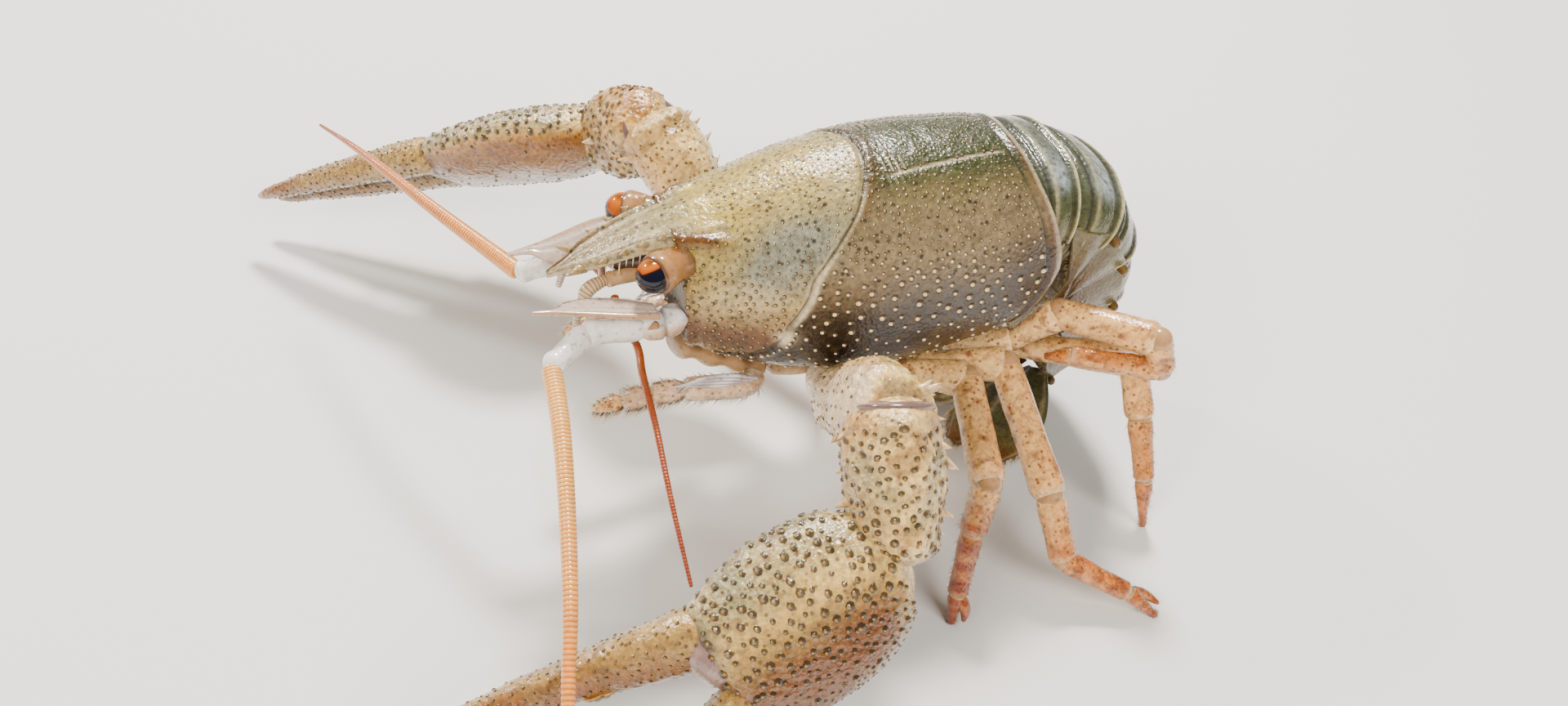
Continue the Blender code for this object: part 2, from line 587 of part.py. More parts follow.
def build_carapace():
    """The two halves of the carapace on either side of the cervical groove, with the rostrum."""
    rear_rings = shell_rings(lambda angle: groove_x(angle) + HALF_GROOVE,
                             lambda angle: rear_edge(math.sin(angle)), BACK_RINGS)
    rear = ring_mesh("rear", rear_rings, start_centre=(PARTING_X, 0.0, PARTING_Z), end_centre=REAR_CENTRE)
    merge("carapace_back", [rear] + side_tubercles(), MATERIALS["shell"])
    head_rings = shell_rings(front_x, lambda angle: groove_x(angle) - HALF_GROOVE, HEAD_RINGS)
    head = ring_mesh("head", head_rings, start_centre=(FRONT_X, 0.0, 0.0),
                     end_centre=(PARTING_X - 2 * HALF_GROOVE, 0.0, PARTING_Z))
    forms = [ring_mesh("rostrum", rostrum_rings())]
    for side in (LEFT, RIGHT):
        for x, half_width, height, length in ROSTRUM_TEETH:
            forms.append(spine((x, side * half_width, height), (-0.86, side * 0.5, 0.1), length, 0.5))
        forms.append(ring_mesh("ridge", ridge_rings(side)))
    merge("carapace_head", [head] + forms, MATERIALS["shell"])


def mirrored_angle(angle, side):
    """Turn an angle of the left side, in degrees, into radians on the given side."""
    return math.radians(angle if side == LEFT else 180.0 - angle)


def side_tubercles():
    """Blunt tubercles in staggered rows low on both sides of the carapace."""
    pieces = []
    for side in (LEFT, RIGHT):
        for row, low_angle in enumerate(TUBERCLE_ANGLES):
            x = TUBERCLE_X[0] + TUBERCLE_STEP * 0.5 * (row % 2)
            while x < TUBERCLE_X[1]:
                angle = mirrored_angle(low_angle + random.uniform(-3.0, 3.0), side)
                size = random.uniform(0.85, 1.2)
                pieces.append(spine(shell_point(x, angle), shell_normal(x, angle),
                                    TUBERCLE_HEIGHT * size, TUBERCLE_RADIUS * size))
                x += TUBERCLE_STEP
    return pieces


def ridge_rings(side):
    """The ridge behind an eye, half sunk in the carapace, that ends in a point over the eye."""
    path = [shell_point(x, mirrored_angle(angle, side)) for x, angle in RIDGE_ROWS]
    return sweep_rings(path, RIDGE_PROFILE, (0.0, 0.0, 1.0), 8, 50.0)


def rostrum_rings():
    """Flat rings with raised margins, from inside the head to the tip."""
    rings = []
    for x, half_width, top, thickness in ROSTRUM_STATIONS:
        rings.append([
            Vector((x, half_width, top)),
            Vector((x, half_width * 0.5, top + 0.25 * thickness)),
            Vector((x, 0.0, top + 0.35 * thickness)),
            Vector((x, -half_width * 0.5, top + 0.25 * thickness)),
            Vector((x, -half_width, top)),
            Vector((x, -half_width * 0.7, top - thickness)),
            Vector((x, 0.0, top - thickness * 1.15)),
            Vector((x, half_width * 0.7, top - thickness)),
        ])
    return rings


def build_underside():
    """Sternum between the legs, and the mouth parts ahead of it, below the carapace."""
    merge("sternum", [ring_mesh("sternum", box_rings(STERNUM_PATH, STERNUM_PROFILE))], MATERIALS["joint"])
    merge("mouth", [ring_mesh("mouth", box_rings(MOUTH_PATH, MOUTH_PROFILE))], MATERIALS["joint"])


def box_rings(path, profile):
    """Rings with a squarish section along a path in the middle plane."""
    rings = []
    for ring in sweep_rings(path, profile, (0.0, 0.0, 1.0), 12, 6.0):
        centre = sum(ring, Vector()) / len(ring)
        squared = []
        for point in ring:
            spoke = point - centre
            corner = abs(math.sin(2 * math.atan2(spoke.z, spoke.y)))
            squared.append(centre + spoke * (1.0 + BOX_FULLNESS * corner))
        rings.append(squared)
    return rings


def to_side(path, side):
    """Mirror a path given for the animal's right side to the given side."""
    return [Vector((x, side * y, z)) for x, y, z in path]


def build_head_limbs(label):
    """Eye, antennule, antenna with its scale, and outer mouth limb of one side."""
    side = SIDES[label]
    build_eye(label)
    base = sweep_rings(to_side(ANTENNULE_BASE_PATH, side), ANTENNULE_BASE_PROFILE, (0.0, 0.0, 1.0), 8, 3.0)
    inner = sweep_rings(to_side(ANTENNULE_PATH, side), ANTENNULE_PROFILE, (0.0, 1.0, 0.2), 6, 4.0)
    merge("antennule_" + label, [ring_mesh("base", base), ring_mesh("inner", inner)], MATERIALS["joint"])
    strand = sweep_rings(STRAND_PATHS[label], STRAND_PROFILE, (1.0, 0.1, 0.1), 6, 50.0)
    merge("strand_" + label, [ring_mesh("strand", strand)], MATERIALS["feeler"])
    base = sweep_rings(to_side(ANTENNA_BASE_PATH, side), ANTENNA_BASE_PROFILE, (0.0, 0.0, 1.0), 10, 2.0,
                       end_normal=(-1.0, 0.0, 0.0))
    merge("antenna_base_" + label, [ring_mesh("base", base)], MATERIALS["shell"])
    build_antenna(label)
    merge("antenna_scale_" + label, [ring_mesh("scale", scale_rings(label))], MATERIALS["joint"])
    limb = sweep_rings(to_side(MAXILLIPED_PATH, side), MAXILLIPED_PROFILE, (0.0, 0.0, 1.0), 8, 3.0,
                       start_normal=(0.0, side * 1.0, 0.0))
    merge("maxilliped_" + label, [ring_mesh("limb", limb)], MATERIALS["leg"])


def build_eye(label):
    """Eyestalk and the cap of the eye at its end."""
    side = SIDES[label]
    eye = Vector((EYE_CENTRE[0], side * EYE_CENTRE[1], EYE_CENTRE[2]))
    front = FRONT_X - GAP
    root = Vector((front, side * STALK_ROOT[0], STALK_ROOT[1]))
    outward = (eye - root).normalized()
    stalk = sweep_rings((root, eye - outward * STALK_SUNK), STALK_PROFILE, (0.0, 0.0, 1.0), 12, 1.5,
                        end_normal=outward)
    stalk = [[Vector((min(point.x, front), point.y, point.z)) for point in ring] for ring in stalk]
    merge("eyestalk_" + label, [ring_mesh("stalk", stalk)], MATERIALS["joint"])
    ball = []
    for k in range(EYE_RINGS):
        angle = math.radians(EYE_CAP[0] + (EYE_CAP[1] - EYE_CAP[0]) * k / (EYE_RINGS - 1))
        centre = eye + outward * (EYE_RADIUS * math.sin(angle))
        radius = EYE_RADIUS * math.cos(angle)
        ball.append(section_ring(centre, outward, outward, 0.0, (radius, radius), (0.0, 0.0, 1.0), 14))
    merge("eye_" + label, [ring_mesh("eye", ball)], MATERIALS["eye"])


def scale_rings(label):
    """The antennal scale: a thin blade, higher at its inner edge, that ends in an outer spine."""
    side = SIDES[label]
    rings = []
    for x, inner, outer, half_thickness in SCALE_STATIONS:
        middle = (inner + outer) / 2
        slope = (SCALE_OUTER_Z - SCALE_INNER_Z) / SCALE_WIDTH
        rise = SCALE_TIP_RISE[label] * (SCALE_STATIONS[0][0] - x) / SCALE_LENGTH
        middle_z = SCALE_OUTER_Z + slope * (middle - SCALE_OUTER_Y) + rise
        lift = slope * (outer - middle)
        rings.append([
            Vector((x, side * inner, middle_z - lift)),
            Vector((x, side * middle, middle_z + half_thickness)),
            Vector((x, side * outer, middle_z + lift + half_thickness * 0.4)),
            Vector((x, side * outer, middle_z + lift - half_thickness * 0.4)),
            Vector((x, side * middle, middle_z - half_thickness)),
        ])
    return rings


def build_antenna(label):
    """White stem and two lengths of the long feeler."""
    paths = ANTENNA_PATHS[label]
    stem = paths["stem"]
    near = paths["near"]
    far = paths["far"]
    stem_end = joint_normal(stem[-2], stem[-1], near[1])
    middle = joint_normal(near[-2], near[-1], far[1])
    up = (0.3, 0.2, 1.0)
    stem_rings = sweep_rings(stem, ANTENNA_STEM_PROFILE, up, 10, 3.0, start_normal=(-1.0, 0.0, 0.0),
                             end_normal=stem_end)
    merge("antenna_stem_" + label, [ring_mesh("stem", stem_rings)], MATERIALS["joint"])
    near_rings = sweep_rings(near, ANTENNA_NEAR_PROFILE, up, 8, 50.0, start_normal=stem_end,
                             end_normal=middle)
    merge("antenna_" + label + "_1", [ring_mesh("near", near_rings)], MATERIALS["feeler"])
    far_rings = sweep_rings(far, ANTENNA_FAR_PROFILE, up, 8, 50.0, start_normal=middle)
    merge("antenna_" + label + "_2", [ring_mesh("far", rest_on_floor(far_rings))], MATERIALS["feeler"])


def build_claw(label):
    """Merus, carpus, palm with its fixed finger, and movable finger of one great claw."""
    side = SIDES[label]
    paths = CLAW_PATHS[label]
    merus = paths["merus"]
    carpus = paths["carpus"]
    elbow = joint_normal(merus[-2], merus[-1], carpus[1])
    wrist = joint_normal(carpus[0], carpus[1], paths["palm"][1])
    rings = sweep_rings(merus, MERUS_PROFILE, ARM_UP, 12, 4.0, start_normal=(0.0, side * 1.0, 0.0),
                        end_normal=elbow)
    spines = [limb_spine(merus, MERUS_PROFILE, ARM_UP, *row) for row in MERUS_SPINES]
    merge("claw_" + label + "_merus", [ring_mesh("merus", rings)] + spines, MATERIALS["claw"])
    rings = sweep_rings(carpus, CARPUS_PROFILE, ARM_UP, 12, 3.0, start_normal=elbow, end_normal=wrist)
    spines = [limb_spine(carpus, CARPUS_PROFILE, ARM_UP, *row) for row in CARPUS_SPINES]
    merge("claw_" + label + "_carpus", [ring_mesh("carpus", rings)] + spines, MATERIALS["claw"])
    build_palm(label, wrist)


def build_palm(label, wrist):
    """Palm with its fixed finger, set with coarse tubercles, and the movable finger."""
    paths = CLAW_PATHS[label]
    palm = paths["palm"]
    end = Vector(palm[-1])
    axis = (end - Vector(palm[-2])).normalized()
    outer = Vector(paths["outer"])
    across = (outer - axis * outer.dot(axis)).normalized()
    up = across.cross(axis)
    upper = math.copysign(1.0, up.z)
    rings = sweep_rings(palm, PALM_PROFILE, up, 16, 4.0, start_normal=wrist)
    pieces = [ring_mesh("palm", rest_on_floor(rings))]
    thumb = (end + across * THUMB_OFFSET - axis * THUMB_ROOT, Vector(paths["thumb_tip"]))
    rings = sweep_rings(thumb, THUMB_PROFILE, up, 10, 6.0)
    pieces.append(ring_mesh("thumb", rest_on_floor(rings)))
    pieces.append(limb_spine(thumb, THUMB_PROFILE, up, 0.42, 180.0, 0.8, 1.0))
    for fraction in PALM_TUBERCLE_ROWS:
        for angle in PALM_TUBERCLE_ANGLES:
            size = random.uniform(0.85, 1.2)
            place = fraction + random.uniform(-0.03, 0.03)
            turn = upper * (angle + random.uniform(-6.0, 6.0))
            pieces.append(limb_spine(palm, PALM_PROFILE, up, place, turn, TUBERCLE_HEIGHT * size,
                                     TUBERCLE_RADIUS * size))
    merge("claw_" + label + "_palm", pieces, MATERIALS["claw"])
    start = end - across * FINGER_OFFSET + axis * GAP
    tip = Vector(paths["finger_tip"])
    finger = (start, start.lerp(tip, 0.5) - across * FINGER_BOW, tip)
    rings = sweep_rings(finger, FINGER_PROFILE, up, 10, 6.0, start_normal=axis)
    tooth = limb_spine(finger, FINGER_PROFILE, up, 0.36, 0.0, 0.7, 1.0)
    pieces = [ring_mesh("finger", rest_on_floor(rings)), tooth]
    merge("claw_" + label + "_finger", pieces, MATERIALS["claw"])


def build_leg(name):
    """Upper and lower length of one walking leg, divided at the knee. Legs 2 and 3 end in a small pincer."""
    path = LEG_PATHS[name]
    side = SIDES[name[-1]]
    knee = LEG_KNEES[name]
    lower = path[knee:]
    knee_normal = joint_normal(path[knee - 1], path[knee], path[knee + 1])
    rings = sweep_rings(path[:knee + 1], UPPER_LEG_PROFILE, (0.1, 0.2, 1.0), 10, 5.0,
                        start_normal=(0.0, side * 1.0, 0.0), end_normal=knee_normal)
    merge(name + "_upper", [ring_mesh("upper", rings)], MATERIALS["leg"])
    stands = path[-1][2] == FLOOR
    end_normal = (0.0, 0.0, -1.0) if stands else None
    rings = sweep_rings(lower, LOWER_LEG_PROFILE, (1.0, 0.2, 0.1), 10, 3.0,
                        start_normal=knee_normal, end_normal=end_normal)
    if stands:
        rings[-1] = [Vector((point.x, point.y, FLOOR)) for point in rings[-1]]
    pieces = [ring_mesh("lower", rings)]
    if name[:4] in PINCER_LEGS:
        hinge, along = place_along(lower, PINCER_START)
        sideways = Vector((along.y, -along.x, 0.0)).normalized() * side
        tip = Vector(path[-1]) + sideways * PINCER_GAPE + Vector((0.0, 0.0, PINCER_LIFT))
        rings = sweep_rings((hinge + sideways * 0.6, tip), PINCER_PROFILE, (0.0, 1.0, 0.0), 6, 2.0)
        pieces.append(ring_mesh("pincer", rings))
    merge(name + "_lower", pieces, MATERIALS["leg"])


def dorsal_line():
    """Points of the back of the abdomen where its segments meet, and its end."""
    points = [Vector((ABDOMEN_START[0], 0.0, ABDOMEN_START[1]))]
    for heading, length in zip(SEGMENT_HEADINGS, SEGMENT_LENGTHS):
        angle = math.radians(heading)
        points.append(points[-1] + Vector((math.cos(angle), 0.0, math.sin(angle))) * length)
    return points


def segment_ring(place, heading, height, half_width, shift=0.0, behind_carapace=False):
    """Cross-section of the abdomen: arched over the back and flatter below."""
    angle = math.radians(heading)
    along = Vector((math.cos(angle), 0.0, math.sin(angle)))
    inward = Vector((math.sin(angle), 0.0, -math.cos(angle)))
    middle = place + inward * (height * SEGMENT_BACK_SHARE) + along * shift
    ring = []
    for k in range(SEGMENT_SIDES):
        turn = 2 * math.pi * (k + 0.5) / SEGMENT_SIDES
        cosine = math.cos(turn)
        sine = math.sin(turn)
        if sine >= 0:
            side = half_width * math.copysign(abs(cosine) ** 0.85, cosine)
            rise = height * SEGMENT_BACK_SHARE * sine ** 0.9
        else:
            side = half_width * 0.96 * math.copysign(abs(cosine) ** 0.7, cosine)
            rise = -height * (1.0 - SEGMENT_BACK_SHARE) * abs(sine) ** 0.7
        point = middle + Vector((0.0, side, 0.0)) - inward * rise
        if behind_carapace:
            point.x = max(point.x, rear_edge(max(sine, 0.0)) + GAP * 1.4)
        ring.append(point)
    return ring


def build_abdomen():
    """Six segments that curl down behind the carapace."""
    points = dorsal_line()
    for index in range(6):
        heading = SEGMENT_HEADINGS[index]
        before = SEGMENT_HEADINGS[index - 1] if index else heading
        after = SEGMENT_HEADINGS[index + 1] if index < 5 else FAN_HEADING
        start_heading = (heading + before) / 2
        end_heading = (heading + after) / 2
        heights = SEGMENT_HEIGHTS[index:index + 2]
        widths = SEGMENT_HALF_WIDTHS[index:index + 2]
        middle = points[index].lerp(points[index + 1], 0.5)
        rings = [
            segment_ring(points[index], start_heading, heights[0], widths[0], GAP / 2,
                         behind_carapace=index == 0),
            segment_ring(middle, heading, sum(heights) / 2, sum(widths) / 2 + SEGMENT_WAIST_GAIN),
            segment_ring(points[index + 1], end_heading, heights[1], widths[1] + SEGMENT_WAIST_GAIN,
                         -GAP / 2),
        ]
        if index == 0:
            pieces = [ring_mesh("segment", rings, start_centre=SEGMENT_FRONT_CENTRE)]
        else:
            pieces = [ring_mesh("segment", rings)]
            planes = ((points[index], start_heading), (points[index + 1], end_heading))
            for side in (LEFT, RIGHT):
                pieces.append(side_plate(index, planes, sum(heights) / 2, side * sum(widths) / 2))
        merge("abdomen_" + str(index + 1), pieces, MATERIALS["abdomen"])
    build_fan(points[-1])


def side_plate(index, planes, height, edge):
    """The plate that hangs from one side of a segment, between the planes where the segment ends."""
    angle = math.radians(SEGMENT_HEADINGS[index])
    inward = Vector((math.sin(angle), 0.0, -math.cos(angle)))
    reach, lean = PLATE_ROWS[index - 1]
    downward = inward.lerp(Vector((0.0, 0.0, -1.0)), lean).normalized()
    middle = (planes[0][0] + planes[1][0]) / 2
    root = middle + inward * (height * PLATE_ROOT) + Vector((0.0, edge * PLATE_PLACE, 0.0))
    tip = root + downward * (height * reach) + Vector((0.0, math.copysign(PLATE_FLARE, edge), 0.0))
    profile = []
    for share, taper in PLATE_OUTLINE:
        room = min(plane_distance(root.lerp(tip, share), place, heading) for place, heading in planes)
        profile.append((share, max(room - GAP, 0.5) * taper, PLATE_HALF_THICKNESS * (1.0 - 0.3 * share)))
    rings = sweep_rings((root, tip), profile, (0.0, 1.0, 0.0), 8, (tip - root).length / 5)
    return ring_mesh("plate", rings)


def plane_distance(point, place, heading):
    """Distance of a point from the plane through a place, square to a heading in degrees."""
    angle = math.radians(heading)
    return abs((point - place).dot(Vector((math.cos(angle), 0.0, math.sin(angle)))))


def build_fan(root):
    """Telson and the two pairs of blades beside it, folded forward just above the floor."""
    angle = math.radians(FAN_HEADING)
    along = Vector((math.cos(angle), 0.0, math.sin(angle)))
    inward = Vector((math.sin(angle), 0.0, -math.cos(angle)))
    start = root + inward * FAN_DEPTH + along * FAN_CLEARANCE
    spines = []
    for side in (LEFT, RIGHT):
        base = start + along * (FAN_LENGTH * TELSON_SPINE_PLACE) + Vector((0.0, side * TELSON_WIDTHS[3], 0.0))
        spines.append(spine(base, along + Vector((0.0, side * TELSON_SPINE_SPLAY, 0.0)), *TELSON_SPINE_SIZE))
    middle = blade(start, along, inward, 0.0, 0.0, FAN_LENGTH, TELSON_WIDTHS, TELSON_HALF_THICKNESS)
    merge("telson", [middle] + spines, MATERIALS["abdomen"])
    for label, side in SIDES.items():
        for name, place, widths in (("inner", INNER_BLADE_PLACE, INNER_BLADE_WIDTHS),
                                    ("outer", OUTER_BLADE_PLACE, OUTER_BLADE_WIDTHS)):
            depth, offset, spread = place
            lobe = blade(start + inward * depth, along, inward, side * offset, side * spread,
                         FAN_LENGTH * 0.97, widths, BLADE_HALF_THICKNESS)
            merge("uropod_" + label + "_" + name, [lobe], MATERIALS["abdomen"])


def blade(start, along, inward, offset, spread, length, half_widths, half_thickness):
    """One flat lobe of the tail fan with a low rib, turned outward by the spread angle in degrees."""
    turn = math.radians(spread)
    direction = along * math.cos(turn) + Vector((0.0, 1.0, 0.0)) * math.sin(turn)
    width_axis = direction.cross(inward).normalized()
    rings = []
    count = len(half_widths) - 1
    for i, half_width in enumerate(half_widths):
        fraction = i / count
        centre = start + Vector((0.0, offset, 0.0)) + direction * (length * fraction)
        thin = half_thickness * (1.0 - 0.4 * fraction)
        ring = []
        for k in range(BLADE_SIDES):
            phase = 2 * math.pi * k / BLADE_SIDES
            rise = thin * math.sin(phase) * (BLADE_RIB if abs(math.cos(phase)) < 0.1 else 1.0)
            ring.append(centre + width_axis * (half_width * math.cos(phase)) + inward * rise)
        rings.append(ring)
    tip = start + Vector((0.0, offset, 0.0)) + direction * (length * 1.1)
    tip.z = max(tip.z, FLOOR + 0.2)
    return ring_mesh("blade", rest_on_floor(rings), end_centre=tip)


for old in list(bpy.data.objects):
    bpy.data.objects.remove(old)
random.seed(62)
MATERIALS = {
    "shell": make_material("olive_shell", OLIVE, 0.35),
    "abdomen": make_material("abdomen_shell", OLIVE_GREY, 0.35),
    "claw": make_material("claw_shell", CREAM_BROWN, 0.4),
    "leg": make_material("leg_shell", LEG_TAN, 0.42),
    "feeler": make_material("feeler_shell", FEELER_ORANGE, 0.45),
    "joint": make_material("joint_skin", JOINT_WHITE, 0.45),
    "eye": make_material("eye_cornea", EYE_BLACK, 0.08),
}
BODY = bpy.data.objects.new("body", None)
BODY.location = Vector(BODY_SHIFT) * MM
bpy.context.scene.collection.objects.link(BODY)
build_carapace()
build_underside()
for side_label in SIDES:
    build_head_limbs(side_label)
    build_claw(side_label)
for leg_name in LEG_PATHS:
    build_leg(leg_name)
build_abdomen()
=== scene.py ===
"""Looks of a narrow-clawed crayfish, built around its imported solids.

Sizes are in millimetres in body coordinates: the head points to -X, the animal's left side is -Y and +Z is
up, with the origin on the body's axis under the rear edge of the carapace. A piece's points are moved to
the row frame in metres when its mesh is made.
"""

import logging
import math
from collections.abc import Callable, Sequence
from dataclasses import dataclass, field
from enum import Enum
from functools import cached_property
from itertools import product

import bpy
import numpy as np
from mathutils import Matrix, Vector

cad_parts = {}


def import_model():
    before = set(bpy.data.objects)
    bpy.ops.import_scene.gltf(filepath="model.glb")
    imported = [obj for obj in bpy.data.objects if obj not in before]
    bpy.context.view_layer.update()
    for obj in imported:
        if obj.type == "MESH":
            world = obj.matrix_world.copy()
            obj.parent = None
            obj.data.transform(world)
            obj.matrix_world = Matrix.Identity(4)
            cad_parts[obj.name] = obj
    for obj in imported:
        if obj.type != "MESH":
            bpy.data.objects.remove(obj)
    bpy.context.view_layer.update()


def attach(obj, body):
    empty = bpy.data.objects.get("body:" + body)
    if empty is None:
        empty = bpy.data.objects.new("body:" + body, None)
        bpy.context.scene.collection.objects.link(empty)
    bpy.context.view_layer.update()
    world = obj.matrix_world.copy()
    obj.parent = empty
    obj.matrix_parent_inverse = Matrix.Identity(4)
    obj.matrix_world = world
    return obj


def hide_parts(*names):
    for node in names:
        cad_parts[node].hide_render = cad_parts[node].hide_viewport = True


Array = np.ndarray
Point = tuple[float, float, float]
Span = tuple[float, float]
Path = Sequence[Point | Array]
Row = tuple[float, ...]
Rows = tuple[Row, ...]
Relief = Callable[[Array, Array], Array]
Marks = dict[str, Array]
Painter = Callable[[Array, Array], Marks]
Tones = tuple[tuple[float, str], ...]
Material = bpy.types.Material
Socket = bpy.types.NodeSocket
Tree = bpy.types.NodeTree

LOG = logging.getLogger("crayfish")
MM = 0.001
FLOOR = -38
BODY_SHIFT = np.array((36.66, 2.1, 38))
MARKS = ("zone", "line", "stud", "warm", "cool")
SEED = 62
PATCH = 0.003
SPINE_UP = (1, 0, 0.1)
HAIR_CLEARANCE = 0.1
# Candidates among which the places of tubercles are picked, on one limb and on the carapace
LIMB_CANDIDATES = 5000
SHELL_CANDIDATES = 26000


class Side(Enum):
    """The two sides of the animal, with the sign of their Y."""

    LEFT = -1
    RIGHT = 1

    @property
    def label(self) -> str:
        """Letter that names pieces of this side."""
        return "l" if self is Side.LEFT else "r"

    def mirror(self, points: Sequence[Point]) -> Path:
        """Points given for the right side, on this side."""
        return tuple((x, y * self.value, z) for x, y, z in points)


class Slot(Enum):
    """The record's material slots."""

    OLIVE = "olive_shell"
    ABDOMEN = "abdomen_shell"
    CLAW = "claw_shell"
    LEG = "leg_shell"
    FEELER = "feeler_shell"
    JOINT = "joint_skin"
    EYE = "eye_cornea"


def linear(colour: str) -> tuple[float, float, float, float]:
    """Turn an sRGB hex colour into linear values.

    Args:
        colour: six hex digits after a hash.

    Returns:
        Linear red, green and blue with an alpha of 1.
    """
    values = [int(colour[i:i + 2], 16) / 255 for i in (1, 3, 5)]
    red, green, blue = (v / 12.92 if v <= 0.04045 else ((v + 0.055) / 1.055) ** 2.4 for v in values)
    return red, green, blue, 1


def unit(vectors: Array) -> Array:
    """Vectors scaled to length one."""
    return vectors / np.maximum(np.linalg.norm(vectors, axis=-1, keepdims=True), 1e-12)


def step(values: Array, low: float, high: float) -> Array:
    """Rise smoothly from 0 at low to 1 at high."""
    t = np.clip((np.asarray(values, float) - low) / (high - low), 0, 1)
    return t * t * (3 - 2 * t)


def hump(values: Array, place: float, width: float) -> Array:
    """A smooth hump of height 1 at a place, that fades over a width on both sides."""
    return np.exp(-((np.asarray(values, float) - place) / width) ** 2)


def columns(*values: Array | float) -> Array:
    """Values of like shape, or single ones, side by side in a last axis."""
    return np.stack(np.broadcast_arrays(*values), axis=-1)


def full_turn(count: int) -> Array:
    """Angles an even distance apart round a full turn."""
    return 2 * math.pi * np.arange(count) / count


def rounded(*rows: Span) -> Rows:
    """A profile of round sections, from rows of fraction and radius."""
    return tuple((fraction, radius, radius) for fraction, radius in rows)


def tube_faces(rings: int, sides: int, start: int, end: int) -> tuple[Array, Array, Array]:
    """Faces of a tube whose points run ring by ring.

    Args:
        rings: how many rings.
        sides: points in each.
        start: index of the point in the middle of the first cap.
        end: index of that of the last.

    Returns:
        The quads between rings, and the triangles of both caps.
    """
    index = np.arange(rings * sides).reshape(rings, sides)
    turned = np.roll(index, -1, axis=1)
    quads = columns(index[:-1], turned[:-1], turned[1:], index[1:]).reshape(-1, 4)
    return quads, columns(turned[0], index[0], start), columns(index[-1], turned[-1], end)


def hermite(rows: Sequence[Row] | Array, places: Array) -> Array:
    """Read every column of a table along smooth curves through its rows.

    Args:
        rows: rows of a place followed by values, in rising order of place.
        places: where to read.

    Returns:
        The values at each place, in a last axis.
    """
    table = np.asarray(rows, float)
    where = np.clip(np.asarray(places, float), table[0, 0], table[-1, 0])
    index = np.clip(np.searchsorted(table[:, 0], where, side="right") - 1, 0, len(table) - 2)
    start = table[index]
    end = table[index + 1]
    before = table[np.maximum(index - 1, 0)]
    after = table[np.minimum(index + 2, len(table) - 1)]
    span = end[..., :1] - start[..., :1]
    t = (where[..., None] - start[..., :1]) / span
    slope_in = (end - before) / (end[..., :1] - before[..., :1]) * span
    slope_out = (after - start) / (after[..., :1] - start[..., :1]) * span
    value = (2 * t ** 3 - 3 * t ** 2 + 1) * start + (t ** 3 - 2 * t ** 2 + t) * slope_in
    value = value + (3 * t ** 2 - 2 * t ** 3) * end + (t ** 3 - t ** 2) * slope_out
    return value[..., 1:]


def crosswise(rows: Rows, places: Array) -> Array:
    """Every column of a table at places along a grid's first axis, to go with values across it."""
    return np.moveaxis(hermite(rows, places), -1, 0)[..., None]


def unevenness(points: Array, size: float, seed: int) -> Array:
    """Smooth random values in space, from -1 to 1.

    Args:
        points: where to read, in millimetres.
        size: how wide a swell is, in millimetres.
        seed: picks another pattern.

    Returns:
        One value per point.
    """
    cell = points / size
    base = np.floor(cell)
    t = cell - base
    t = t * t * (3 - 2 * t)
    total = np.zeros(points.shape[:-1])
    for corner in product((0, 1), repeat=3):
        weight = np.prod(np.where(np.array(corner) > 0, t, 1 - t), axis=-1)
        key = (base + np.array(corner)) @ np.array((12.9898, 78.233, 37.719)) + seed * 3.71
        value = np.sin(key) * 43758.5453
        total = total + weight * (value - np.floor(value))
    return 2 * total - 1


def scatter(points: Array, spacing: Array) -> Array:
    """Pick points that keep their distance from each other.

    Args:
        points: candidates in random order.
        spacing: the least distance that each keeps from those picked before it.

    Returns:
        Indices of the picked points.
    """
    cell = float(np.max(spacing))
    keys = np.floor(points / cell).astype(int)
    taken: dict[tuple[int, ...], list[int]] = {}
    picked = []
    for i, key in enumerate(keys):
        near = []
        for offset in product((-1, 0, 1), repeat=3):
            near.extend(taken.get((key[0] + offset[0], key[1] + offset[1], key[2] + offset[2]), ()))
        if near and np.min(np.sum((points[near] - points[i]) ** 2, axis=1)) < spacing[i] ** 2:
            continue
        taken.setdefault(tuple(key), []).append(i)
        picked.append(i)
    return np.array(picked, int)


